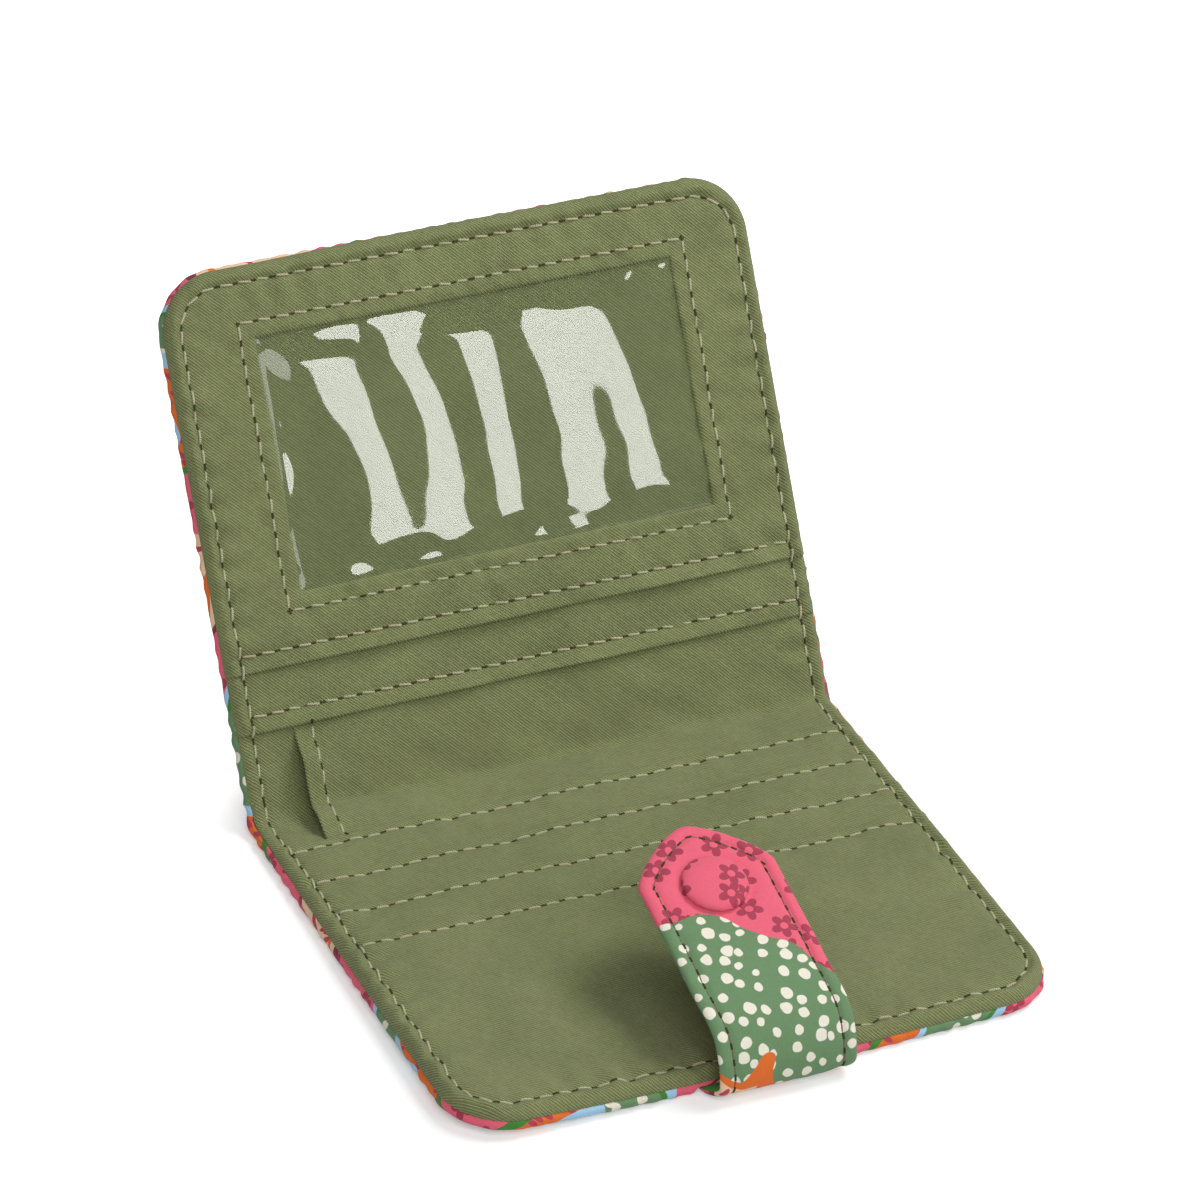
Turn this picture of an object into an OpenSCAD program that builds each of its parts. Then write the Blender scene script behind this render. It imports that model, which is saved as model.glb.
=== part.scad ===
// Compact bi-fold fabric wallet with a snap tab, standing half open.
// The lower half lies flat, the spine and the upper half lean back from the fold crease.
// Each half is drawn flat, as x along the crease, y away from the crease and z from the outer face
// to the inner face, and is then laid or raised about the crease.

/* [Wallet] */
// Width along the fold, over the rolled edges
wallet_w = 120; // [112:1:140]
// Length of the lower half, from the crease to its front edge
lower_len = 96; // [94:1:110]
// How far the closed upper half stops short of the lower half's front edge
front_step = 1; // [0.5:0.5:3]
// Width of the spine strip, which sets the thickness of the closed wallet
spine_w = 7; // [5:0.5:12]
// Radius of the four outer corners
corner_r = 12; // [8:1:16]
// Angle by which the upper half is raised from flat
rest_angle = 57; // [40:1:80]

/* [Layers] */
// Thickness of the printed cover
cover_t = 0.5; // [0.4:0.05:0.8]
// Thickness of the padding
padding_t = 1.9; // [1.5:0.1:2.6]
// Thickness of the back lining
lining_t = 0.3; // [0.2:0.05:0.4]
// Thickness of the bill-pocket wall
bill_wall_t = 0.4; // [0.3:0.05:0.6]
// Thickness of one pocket panel
pocket_t = 0.3; // [0.2:0.05:0.4]
// How far the lining and the pocket panels stay inside the rolled edge
lining_inset = 0.6; // [0.4:0.1:1.2]
// Gap left at a fold line between two panels that turn about it
fold_gap = 0.3; // [0.2:0.05:0.5]
// Gap between the padding and the rolled edge round it
padding_gap = 0.1; // [0.05:0.05:0.4]

/* [Pockets] */
// From the crease to the folded edge of the first card pocket
first_slot = 9; // [8:0.5:12]
// Step from one card pocket's edge to the next
slot_step = 10.4; // [9:0.2:12]
// From the crease to the lower edge of the slip pocket
slip_edge = 16.2; // [14:0.2:18]
// From the crease to the lower edge of the ID panel
panel_edge = 27.4; // [24:0.2:30]
// From the left edge to the free edge of the bill-pocket wall
bill_inset = 11.5; // [9:0.5:14]
// Width of the hem on that free edge
hem_w = 3.6; // [3:0.2:5]

/* [Window] */
// Width of the window opening
window_w = 84.6; // [80:0.2:88]
// Height of the window opening
window_h = 47.6; // [44:0.2:49]
// From the upper half's top edge to the opening
window_top = 14; // [13:0.5:15]
// How far the clear sheet reaches past the opening on each side
window_lap = 4.8; // [4:0.2:6]
// Thickness of the clear sheet
window_t = 0.2; // [0.15:0.05:0.3]
// Thickness of the ID panel with its turned-in hem
panel_t = 0.5; // [0.4:0.05:0.7]
// Play of the clear sheet in the turned-in hem
window_play = 0.1; // [0.05:0.05:0.3]

/* [Tab] */
// How far the tab stands to the right of the middle
tab_x = -0.5; // [-4:0.5:4]
// Width of the tab
tab_w = 27; // [22:0.5:30]
// Length of the tab's free end, from its top bend to its tip
tab_end_l = 39; // [37:0.5:44]
// Length of the sewn root under the front of the lower half
tab_root_l = 20; // [15:1:25]
// Angle of the free end above level
tab_rest = 15; // [10:1:30]
// Length over which the tip narrows
tab_taper = 8; // [6:0.5:9]
// Width of the tip
tab_tip_w = 9; // [7:0.5:11]
// Thickness of each of the tab's two fabrics
tab_fabric_t = 0.45; // [0.3:0.05:0.6]
// Thickness of the stiffener between them
tab_stiffener_t = 0.3; // [0.2:0.05:0.4]
// Gap between the front edge and the tab that rises in front of it
tab_gap = 0.5; // [0.3:0.1:1]
// How far the stiffener stays inside the tab's edge
stiffener_inset = 1; // [0.6:0.1:2]
// Length cut off each side of a corner where the tab's outline is rounded
tab_corner = 2.4; // [1.6:0.1:2.8]

/* [Snap] */
// From the tab's top bend to the centre of the snap
snap_reach = 27.5; // [26:0.5:28]
// Diameter of the fabric-covered cap
cap_d = 12.4; // [11:0.2:14]
// Height of the cap over the tab
cap_h = 1.8; // [1.4:0.1:2.4]
// Height of the cap's straight rim
cap_rim_h = 0.5; // [0.3:0.1:0.8]
// Diameter of the socket's plate and of the stud's flange
snap_plate_d = 10; // [9:0.5:11]
// Thickness of the socket's plate and of the stud's flange
snap_plate_t = 0.5; // [0.4:0.05:0.6]
// Diameter of the socket's barrel
barrel_d = 7.2; // [6.4:0.2:8]
// Height of the socket, plate and barrel together
socket_h = 1.9; // [1.8:0.1:2.4]
// Diameter of the stud's head
head_d = 3.7; // [3.2:0.1:4.4]
// Height of the stud over its flange
stud_h = 1.3; // [1:0.05:1.35]
// How far the head stands out over its neck, and how tall its edge is
head_lip = 0.3; // [0.2:0.05:0.3]
// Radial play of the head in the socket
snap_play = 0.1; // [0.05:0.01:0.2]
// Gap between the socket and the flange when the snap is shut
snap_gap = 0.15; // [0.1:0.05:0.3]
// Diameter of the posts that hold the cap and the stud
post_d = 2; // [1.6:0.1:2.4]
// Radial play of a post in its hole
post_play = 0.05; // [0.02:0.01:0.1]
// Diameter of the washer behind the stud
washer_d = 8; // [7:0.5:9]
// Thickness of that washer
washer_t = 0.4; // [0.3:0.05:0.5]

/* [Stitching] */
// Pitch of the stitches
stitch_pitch = 3.7; // [3:0.1:4.5]
// Length of one stitch
stitch_l = 2.6; // [2:0.1:2.8]
// Width of the thread
stitch_w = 0.45; // [0.3:0.05:0.6]
// Height of a stitch over the fabric
stitch_h = 0.15; // [0.1:0.05:0.2]
// From the outer edge to the perimeter seam
seam_inset = 3.5; // [3:0.1:5]
// Length cut off each corner of the perimeter seam
seam_cut = 6.5; // [5:0.5:8]
// From a pocket's folded edge to its stitch line
edge_seam = 2; // [1.5:0.1:3]
// From the lower edge of an upper panel to its stitch line
lip_seam = 3.2; // [2.6:0.1:4]
// From the window opening to the seam round it
window_seam = 3.1; // [2.6:0.1:3.6]
// From the tab's edge to its seam
tab_seam = 2.7; // [2:0.1:3.4]
// Clearance under the root's stitches and between the root and its seat
root_clear = 0.05; // [0.03:0.01:0.1]

/* [Hidden] */
$fn = 64;

// How far a cut reaches past the face that it opens
past = 1;

// The printed cover's edge is rolled to a half round as high as the cover and the padding.
rim_w = cover_t + padding_t;
roll_r = rim_w / 2;
lining_z = rim_w;
bill_wall_z = lining_z + lining_t;
fold_h = bill_wall_z + bill_wall_t;
half_w = wallet_w / 2;
upper_start = spine_w + fold_gap;
upper_end = spine_w + lower_len - front_step;
seam_x = half_w - seam_inset;
line_x = seam_x - stitch_l / 2;
bill_edge_x = bill_inset - half_w;
window_far = upper_end - window_top;
window_near = window_far - window_h;

// The tab's sewn root lies in a seat under the lower half, with its stitches above the table.
tab_t = 2 * tab_fabric_t + tab_stiffener_t;
root_z = tab_t + stitch_h + root_clear;
seat_z = root_z + root_clear;
closed_h = 2 * fold_h + spine_w;
riser_l = closed_h + snap_plate_t + snap_gap + socket_h - root_z;
riser_y = lower_len + tab_gap;
stud_y = spine_w + riser_y - snap_reach;

// The origin lies under the middle of the wallet's box at rest.
back_y = (upper_end - roll_r) * cos(rest_angle) + (fold_h - roll_r) * sin(rest_angle) + roll_r;
front_y = riser_y + tab_t + stitch_h;
fold_y = (front_y - back_y) / 2;

module in_lower() {
    translate([0, fold_y, 0]) mirror([0, 1, 0]) children();
}

module in_upper() {
    translate([0, fold_y, fold_h]) rotate([rest_angle, 0, 0]) translate([0, 0, -fold_h]) children();
}

// Tab pieces are drawn flat with the inner face at z = 0 and y running from a bend to the tip.
module in_tab(angle, height) {
    translate([tab_x, fold_y - riser_y, height]) rotate([angle, 0, 0]) children();
}

module in_root() {
    in_tab(180, root_z) children();
}

module in_riser() {
    in_tab(90, root_z) children();
}

module in_end() {
    in_tab(tab_rest, root_z + riser_l) children();
}

// Flat outline of a half, with square corners at the fold and round ones at the far end.
module half_outline(end, start, inset) {
    w = half_w - inset;
    far = end - inset;
    r = corner_r - inset;
    translate([-w, start]) square([2 * w, far - r - start]);
    translate([r - w, start]) square([2 * (w - r), far - start]);
    for (side = [-1, 1]) translate([side * (w - r), far - r]) circle(r);
}

module half_sheet(end, start, inset, z, t) {
    translate([0, 0, z]) linear_extrude(t) half_outline(end, start, inset);
}

module strip_sheet(start, end, inset, z, t) {
    translate([inset - half_w, start, z]) cube([wallet_w - 2 * inset, end - start, t]);
}

// Section of the rolled edge: round outside, square inside, with its outer edge at x = 0.
module rim_section() {
    translate([-roll_r, roll_r]) circle(roll_r);
    translate([-rim_w, 0]) square([roll_r, rim_w]);
}

module rim_run(start, end) {
    for (side = [0, 1]) mirror([side, 0, 0])
        translate([half_w, end, 0]) rotate([90, 0, 0]) linear_extrude(end - start) rim_section();
}

module rim_end(end) {
    for (side = [0, 1]) mirror([side, 0, 0])
        translate([half_w - corner_r, end - corner_r, 0])
            rotate_extrude(angle = 90) translate([corner_r, 0]) rim_section();
    translate([corner_r - half_w, end, 0]) rotate([90, 0, 90])
        linear_extrude(wallet_w - 2 * corner_r) rim_section();
}

module half_cover(end, start) {
    half_sheet(end, start, rim_w - roll_r / 2, 0, cover_t);
    rim_run(start, end - corner_r);
    rim_end(end);
}

module half_padding(end, start) {
    half_sheet(end, start, rim_w + padding_gap, cover_t, padding_t);
}

module bill_sheet(start, end) {
    translate([bill_edge_x, start, bill_wall_z])
        cube([half_w - lining_inset - bill_edge_x, end - start, bill_wall_t]);
}

module half_bill_wall(end, start) {
    translate([0, 0, bill_wall_z]) linear_extrude(bill_wall_t) intersection() {
        half_outline(end, start, lining_inset);
        translate([bill_edge_x, 0]) square([wallet_w, end]);
    }
}

// A straight row of stitches from a to b, each as high up as level() says for its far end.
module seam(a, b, level) {
    run = norm(b - a);
    count = max(1, round(run / stitch_pitch));
    turn = atan2(b[1] - a[1], b[0] - a[0]);
    for (i = [0:count - 1]) {
        at = a + (b - a) * (i + 0.5) / count;
        reach = abs(sin(turn)) * stitch_l / 2 + stitch_w / 2;
        translate([at[0], at[1], level(at[1] + reach) + stitch_h / 2])
            rotate(turn) cube([stitch_l, stitch_w, stitch_h], center = true);
    }
}

module seam_path(points, level) {
    for (i = [1:len(points) - 1]) seam(points[i - 1], points[i], level);
}

// Height of the inner face of each half, which steps up at every pocket's edge.
slot_edges = [for (i = [0:3]) first_slot + i * slot_step];
lower_level = function(y) fold_h + pocket_t * len([for (e = slot_edges) if (y > e) e]);
upper_level = function(y) fold_h + (y > slip_edge ? pocket_t : 0) + (y > panel_edge ? panel_t : 0);
bare_level = function(y) bill_wall_z;

// The left seam runs on the bare lining up to the first pocket's edge, the right one on the bill wall.
module edge_seams(end, start, first_edge, level) {
    far = end - seam_inset;
    seam([-seam_x, start], [-seam_x, first_edge - stitch_l / 4], bare_level);
    seam([-seam_x, first_edge + stitch_l / 4], [-seam_x, far - seam_cut], level);
    seam_path([
        [-seam_x, far - seam_cut], [seam_cut - seam_x, far], [seam_x - seam_cut, far],
        [seam_x, far - seam_cut], [seam_x, start]
    ], level);
}

// Room for the tab's root in the underside of the lower half
module root_seat() {
    translate([tab_x - tab_w / 2 - tab_gap, lower_len - tab_root_l, -past])
        cube([tab_w + 2 * tab_gap, tab_root_l + past, past + seat_z]);
}

// Lower half
module lower_cover() {
    color("indianred") in_lower() difference() {
        half_cover(lower_len, 0);
        root_seat();
    }
}

module lower_padding() {
    color("whitesmoke") in_lower() difference() {
        half_padding(lower_len, 0);
        root_seat();
    }
}

module lower_lining() {
    color("darkolivegreen") in_lower() half_sheet(lower_len, 0, lining_inset, lining_z, lining_t);
}

module lower_bill_wall() {
    color("darkseagreen") in_lower() half_bill_wall(lower_len, 0);
}

module card_pocket(i) {
    color([0.46, 0.52, 0.32]) in_lower()
        half_sheet(lower_len, slot_edges[i], lining_inset, fold_h + i * pocket_t, pocket_t);
}

module lower_edge_stitching() {
    color("khaki") in_lower() edge_seams(lower_len, stitch_l / 2, first_slot, lower_level);
}

module card_pocket_stitching() {
    color("khaki") in_lower() {
        for (e = slot_edges) seam([-line_x, e + edge_seam], [line_x, e + edge_seam], lower_level);
        hem_seam(stitch_l / 2, first_slot);
    }
}

module hem_seam(start, end) {
    x = bill_edge_x + hem_w;
    seam([x, start], [x, end - stitch_l / 4], function(y) fold_h);
}

// Fold between the lower half and the spine: the cover and the padding bend round the crease.
module fold_bend() {
    translate([0, fold_y, fold_h]) rotate([0, 90, 0])
        rotate_extrude(angle = rest_angle) children();
}

module fold_cover() {
    color("indianred") fold_bend() {
        translate([fold_h - cover_t, rim_w - roll_r / 2 - half_w])
            square([cover_t, wallet_w - 2 * rim_w + roll_r]);
        for (side = [0, 1]) mirror([0, side])
            translate([fold_h, half_w]) rotate(90) rim_section();
    }
}

module fold_padding() {
    color("whitesmoke") fold_bend()
        translate([fold_h - rim_w, rim_w + padding_gap - half_w])
            square([padding_t, wallet_w - 2 * (rim_w + padding_gap)]);
}

// Spine
module spine_cover() {
    color("indianred") in_upper() {
        strip_sheet(fold_gap, spine_w, rim_w - roll_r / 2, 0, cover_t);
        rim_run(fold_gap, spine_w);
    }
}

module spine_padding() {
    color("whitesmoke") in_upper()
        strip_sheet(fold_gap, spine_w, rim_w + padding_gap, cover_t, padding_t);
}

module spine_lining() {
    color("darkolivegreen") in_upper()
        strip_sheet(fold_gap, spine_w, lining_inset, lining_z, lining_t);
}

module spine_bill_wall() {
    color("darkseagreen") in_upper() bill_sheet(fold_gap, spine_w);
}

module spine_stitching() {
    start = fold_gap + stitch_l / 2;
    end = spine_w - stitch_l / 4;
    color("khaki") in_upper() {
        seam([-seam_x, start], [-seam_x, end], bare_level);
        seam([seam_x, start], [seam_x, end], function(y) fold_h);
        hem_seam(start, end);
    }
}

// Upper half
module upper_cover() {
    color("indianred") in_upper() difference() {
        half_cover(upper_end, upper_start);
        translate([tab_x, stud_y, -past])
            cylinder(d = post_d + 2 * post_play, h = cover_t + 2 * past);
    }
}

module upper_padding() {
    color("whitesmoke") in_upper() difference() {
        half_padding(upper_end, upper_start);
        translate([tab_x, stud_y, cover_t - past])
            cylinder(d = washer_d + 2 * padding_gap, h = past + washer_t);
    }
}

module upper_lining() {
    color("darkolivegreen") in_upper()
        half_sheet(upper_end, upper_start, lining_inset, lining_z, lining_t);
}

module upper_bill_wall() {
    color("darkseagreen") in_upper() half_bill_wall(upper_end, upper_start);
}

module slip_pocket() {
    color([0.46, 0.52, 0.32]) in_upper()
        half_sheet(upper_end, slip_edge, lining_inset, fold_h, pocket_t);
}

module window_block(grow, z, t) {
    translate([-window_w / 2 - grow, window_near - grow, z])
        cube([window_w + 2 * grow, window_h + 2 * grow, t]);
}

module id_panel() {
    z = fold_h + pocket_t;
    color([0.5, 0.56, 0.36]) in_upper() difference() {
        half_sheet(upper_end, panel_edge, lining_inset, z, panel_t);
        window_block(0, z - past, panel_t + 2 * past);
        window_block(window_lap, z - past, past + window_t);
    }
}

module id_window() {
    color([0.85, 0.9, 0.88, 0.4]) in_upper()
        window_block(window_lap - window_play, fold_h + pocket_t, window_t);
}

module upper_edge_stitching() {
    color("khaki") in_upper()
        edge_seams(upper_end, upper_start + stitch_l / 2, slip_edge, upper_level);
}

module upper_pocket_stitching() {
    color("khaki") in_upper() {
        for (e = [slip_edge, panel_edge])
            seam([-line_x, e + lip_seam], [line_x, e + lip_seam], upper_level);
        hem_seam(upper_start + stitch_l / 2, slip_edge);
    }
}

module window_stitching() {
    x = window_w / 2 + window_seam;
    near = window_near - window_seam;
    far = window_far + window_seam;
    color("khaki") in_upper()
        seam_path([[-x, near], [x, near], [x, far], [-x, far], [-x, near]], upper_level);
}

// Snap stud on the outer face of the upper half, riveted through the cover to a washer.
module in_stud() {
    in_upper() translate([tab_x, stud_y, 0]) mirror([0, 0, 1]) children();
}

module snap_stud() {
    neck_r = head_d / 2 - head_lip;
    top = snap_plate_t + stud_h;
    color("silver") in_stud() rotate_extrude() polygon([
        [post_d / 2 + post_play, 0], [snap_plate_d / 2, 0], [snap_plate_d / 2, snap_plate_t],
        [neck_r, snap_plate_t], [neck_r, snap_plate_t + head_lip], [head_d / 2, top - 2 * head_lip],
        [head_d / 2, top - head_lip], [neck_r, top], [0, top], [0, snap_plate_t],
        [post_d / 2 + post_play, snap_plate_t]
    ]);
}

module snap_stud_post() {
    color("silver") in_stud() {
        translate([0, 0, -cover_t]) cylinder(d = post_d, h = cover_t + snap_plate_t);
        translate([0, 0, -cover_t - washer_t]) cylinder(d = washer_d, h = washer_t);
    }
}

// Tab
module tab_plate(start, end, z, t, inset) {
    translate([inset - tab_w / 2, start, z]) cube([tab_w - 2 * inset, end - start, t]);
}

module tab_root() {
    color("seagreen") in_root() tab_plate(tab_gap - tab_root_l, 0, 0, tab_t, 0);
}

module tab_root_stitching() {
    x = tab_w / 2 - tab_seam;
    back = tab_gap - tab_root_l + tab_seam;
    front = -tab_gap - tab_seam;
    color("khaki") in_root()
        seam_path([[-x, front], [-x, back], [x, back], [x, front], [-x, front]], function(y) tab_t);
}

// The tab's bends turn about its inner face, between the directions that its outer face looks in:
// 270 is down, under the root, and 180 is to the front, on the part that rises.
module tab_bend(height, low, high) {
    in_tab(0, height) translate([-tab_w / 2, 0, 0]) rotate([0, 90, 0]) rotate([0, 0, low + 90])
        rotate_extrude(angle = high - low) square([tab_t, tab_w]);
}

module tab_root_bend() {
    color("seagreen") tab_bend(root_z, 180, 270);
}

module tab_top_bend() {
    color("seagreen") tab_bend(root_z + riser_l, tab_rest + 90, 180);
}

module tab_riser_face() {
    color("seagreen") in_riser()
        tab_plate(fold_gap, riser_l, tab_fabric_t + tab_stiffener_t, tab_fabric_t, 0);
}

module tab_riser_stiffener() {
    color("whitesmoke") in_riser()
        tab_plate(fold_gap, riser_l, tab_fabric_t, tab_stiffener_t, stiffener_inset);
}

module tab_riser_back() {
    color("darkgreen") in_riser() tab_plate(fold_gap, riser_l, 0, tab_fabric_t, 0);
}

module tab_riser_stitching() {
    x = tab_w / 2 - tab_seam;
    color("khaki") in_riser() for (side = [-1, 1])
        seam([side * x, fold_gap], [side * x, riser_l], function(y) tab_t);
}

// Rounds the corner at p, between the neighbours a and b, from a cut of length d on each side.
function round_corner(a, p, b, d) =
    let (u = (a - p) / norm(a - p), v = (b - p) / norm(b - p))
    [for (i = [0:6]) let (s = i / 6) p + pow(1 - s, 2) * d * u + pow(s, 2) * d * v];

// An outline inside the edge keeps its slanted sides parallel by moving their ends about a third as far.
function tab_points(inset) =
    let (w = tab_w / 2 - inset, far = tab_end_l - inset, tip = tab_tip_w / 2 - inset / 3,
         taper = tab_end_l - tab_taper - inset / 3)
    [[-w, fold_gap], [w, fold_gap], [w, taper], [tip, far], [-tip, far], [-w, taper]];

module tab_outline(inset) {
    p = tab_points(inset);
    polygon(concat(
        [p[0], p[1]],
        round_corner(p[1], p[2], p[3], tab_corner), round_corner(p[2], p[3], p[4], tab_corner),
        round_corner(p[3], p[4], p[5], tab_corner), round_corner(p[4], p[5], p[0], tab_corner)
    ));
}

module tab_end_layer(z, t, inset) {
    in_end() difference() {
        translate([0, 0, z]) linear_extrude(t) tab_outline(inset);
        translate([0, snap_reach, z - past])
            cylinder(d = post_d + 2 * post_play, h = t + 2 * past);
    }
}

module tab_end_face() {
    color("seagreen") tab_end_layer(tab_fabric_t + tab_stiffener_t, tab_fabric_t, 0);
}

module tab_end_stiffener() {
    color("whitesmoke") tab_end_layer(tab_fabric_t, tab_stiffener_t, stiffener_inset);
}

module tab_end_back() {
    color("darkgreen") tab_end_layer(0, tab_fabric_t, 0);
}

module tab_end_stitching() {
    p = tab_points(tab_seam);
    color("khaki") in_end()
        seam_path([p[1], p[2], p[3], p[4], p[5], p[0]], function(y) tab_t);
}

// Snap cap: a covered dome whose post goes through the tab and holds the socket.
module snap_cap() {
    a = cap_d / 2;
    rise = cap_h - cap_rim_h;
    dome_r = (pow(a, 2) + pow(rise, 2)) / (2 * rise);
    color("lightcoral") in_end() translate([0, snap_reach, tab_t]) {
        rotate_extrude() {
            square([a, cap_rim_h]);
            translate([0, cap_rim_h]) intersection() {
                translate([0, rise - dome_r]) circle(dome_r, $fn = 180);
                square([a, rise]);
            }
        }
        translate([0, 0, -tab_t - snap_plate_t]) cylinder(d = post_d, h = tab_t + snap_plate_t);
    }
}

module snap_socket() {
    bore_r = head_d / 2 + snap_play;
    hole_r = post_d / 2 + post_play;
    color("silver") in_end() translate([0, snap_reach, 0]) rotate_extrude() polygon([
        [hole_r, 0], [snap_plate_d / 2, 0], [snap_plate_d / 2, -snap_plate_t],
        [barrel_d / 2, -snap_plate_t], [barrel_d / 2, -socket_h], [bore_r, -socket_h],
        [bore_r, -snap_plate_t], [hole_r, -snap_plate_t]
    ]);
}

lower_cover();
lower_padding();
lower_lining();
lower_bill_wall();
card_pocket(0);  // card_pocket_1
card_pocket(1);  // card_pocket_2
card_pocket(2);  // card_pocket_3
card_pocket(3);  // card_pocket_4
lower_edge_stitching();
card_pocket_stitching();
fold_cover();
fold_padding();
spine_cover();
spine_padding();
spine_lining();
spine_bill_wall();
spine_stitching();
upper_cover();
upper_padding();
upper_lining();
upper_bill_wall();
slip_pocket();
id_panel();
id_window();
upper_edge_stitching();
upper_pocket_stitching();
window_stitching();
snap_stud();
snap_stud_post();
tab_root();
tab_root_stitching();
tab_root_bend();
tab_riser_face();
tab_riser_stiffener();
tab_riser_back();
tab_riser_stitching();
tab_top_bend();
tab_end_face();
tab_end_stiffener();
tab_end_back();
tab_end_stitching();
snap_cap();
snap_socket();
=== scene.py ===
# A compact bi-fold fabric wallet with a snap tab, standing half open on a white table.
# It is put together from the outside in: wadding and printed cover, linings, pockets, window,
# seams, and last the tab with its snap. Sizes are in millimetres and meshes in metres.
import math

import bpy
import numpy as np
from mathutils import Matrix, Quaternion, Vector


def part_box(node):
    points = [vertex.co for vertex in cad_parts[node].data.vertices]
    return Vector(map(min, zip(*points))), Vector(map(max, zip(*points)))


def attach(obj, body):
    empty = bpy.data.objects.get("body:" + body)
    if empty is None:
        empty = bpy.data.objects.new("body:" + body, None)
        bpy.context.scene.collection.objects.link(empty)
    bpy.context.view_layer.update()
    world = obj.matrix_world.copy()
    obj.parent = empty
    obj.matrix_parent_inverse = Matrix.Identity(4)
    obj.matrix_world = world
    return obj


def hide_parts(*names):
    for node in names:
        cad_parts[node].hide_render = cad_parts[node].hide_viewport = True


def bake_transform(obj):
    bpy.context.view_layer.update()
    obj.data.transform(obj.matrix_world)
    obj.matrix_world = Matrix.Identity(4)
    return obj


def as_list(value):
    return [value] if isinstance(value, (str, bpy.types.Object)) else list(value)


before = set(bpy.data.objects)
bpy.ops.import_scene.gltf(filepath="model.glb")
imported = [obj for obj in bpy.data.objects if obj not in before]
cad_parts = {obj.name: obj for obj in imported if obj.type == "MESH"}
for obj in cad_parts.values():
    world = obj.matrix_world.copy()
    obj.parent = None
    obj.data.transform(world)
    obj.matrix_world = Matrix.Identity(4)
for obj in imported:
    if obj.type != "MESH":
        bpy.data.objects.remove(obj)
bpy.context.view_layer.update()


# Camera and table
# The camera stands where the photograph was taken from, to the left of the middle and above.
# The table is a pale sheet that the camera sees as white, apart from the shadow close to the wallet.
MM = 0.001
WHITE = (1.0, 1.0, 1.0, 1.0)
CAMERA_PLACE = (-473.8, -907.4, 768.4)
CAMERA_AZIMUTH, CAMERA_ELEVATION, CAMERA_ROLL = 27.48, 34.96, 4.45
CAMERA_LENS, CAMERA_SENSOR, CAMERA_NEAR, CAMERA_FAR = 206.5, 36, 0.05, 20
TABLE_SIZE, TABLE_DROP = 8.0, 0.05
TABLE_COLOUR, TABLE_ROUGH = (0.80, 0.80, 0.80, 1.0), 0.5
# The table's glow beside the wallet and away from it, the patch that the wallet covers, in metres,
# and how far from that patch the glow starts to grow and is full.
TABLE_LIFT, TABLE_CLEAR = 0.30, 1.0
SHADE_HALF, SHADE_MIDDLE = (0.052, 0.040), (0.0, -0.030)
SHADE_NEAR, SHADE_FAR = 0.010, 0.036


def direction(azimuth, elevation):
    """The way out at an azimuth, from the back towards the right, and an elevation."""
    a, e = math.radians(azimuth), math.radians(elevation)
    return Vector((math.sin(a) * math.cos(e), math.cos(a) * math.cos(e), math.sin(e)))


def add_node(tree, kind, **values):
    """A shader node, with its settings and its inputs by name: a socket is linked, a value is set."""
    made = tree.nodes.new("ShaderNode" + kind)
    for name, value in values.items():
        if hasattr(made, name) and name not in made.inputs:
            setattr(made, name, value)
            continue
        socket = made.inputs[int(name[1:])] if name[0] == "i" and name[1:].isdigit() else made.inputs[name]
        if isinstance(value, bpy.types.NodeSocket):
            tree.links.new(value, socket)
        else:
            socket.default_value = value
    return made


def math_node(tree, operation, *parts, kind="Math", **rest):
    """One step of arithmetic on numbers, or on vectors where kind says so."""
    numbered = {f"i{i}": part for i, part in enumerate(parts)}
    return add_node(tree, kind, operation=operation, **numbered, **rest).outputs[0]


def vector_node(tree, operation, *parts, **rest):
    return math_node(tree, operation, *parts, kind="VectorMath", **rest)


def step_node(tree, value, low, high, at_low, at_high):
    """Goes smoothly from at_low to at_high while the value goes from low to high."""
    return add_node(tree, "MapRange", interpolation_type="SMOOTHSTEP", Value=value,
                    i1=low, i2=high, i3=at_low, i4=at_high).outputs[0]


def object_place(tree):
    return add_node(tree, "TexCoord").outputs["Object"]


def new_material(name):
    material = bpy.data.materials.new(name)
    material.use_nodes = True
    material.node_tree.nodes.clear()
    return material, material.node_tree


def finish_material(tree, shader):
    output = tree.nodes.new("ShaderNodeOutputMaterial")
    tree.links.new(shader, output.inputs["Surface"])


def table_material():
    """White paper. Seen by the camera it also glows, more so away from the wallet's shadow."""
    material, tree = new_material("table_white")
    paper = add_node(tree, "BsdfDiffuse", Color=TABLE_COLOUR, Roughness=TABLE_ROUGH)
    centred = add_node(tree, "Mapping", Vector=object_place(tree),
                       Location=(-SHADE_MIDDLE[0], -SHADE_MIDDLE[1], 0))
    past = vector_node(tree, "ABSOLUTE", centred.outputs[0])
    past = vector_node(tree, "SUBTRACT", past, (*SHADE_HALF, 1.0))
    past = vector_node(tree, "MAXIMUM", past, (0, 0, 0))
    away = add_node(tree, "VectorMath", operation="LENGTH", i0=past).outputs["Value"]
    strength = step_node(tree, away, SHADE_NEAR, SHADE_FAR, TABLE_LIFT, TABLE_CLEAR)
    lift = add_node(tree, "Emission", Color=WHITE, Strength=strength)
    both = add_node(tree, "AddShader", i0=paper.outputs[0], i1=lift.outputs[0])
    path = add_node(tree, "LightPath")
    seen = add_node(tree, "MixShader", i0=path.outputs["Is Camera Ray"],
                    i1=paper.outputs[0], i2=both.outputs[0])
    finish_material(tree, seen.outputs[0])
    return material


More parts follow.
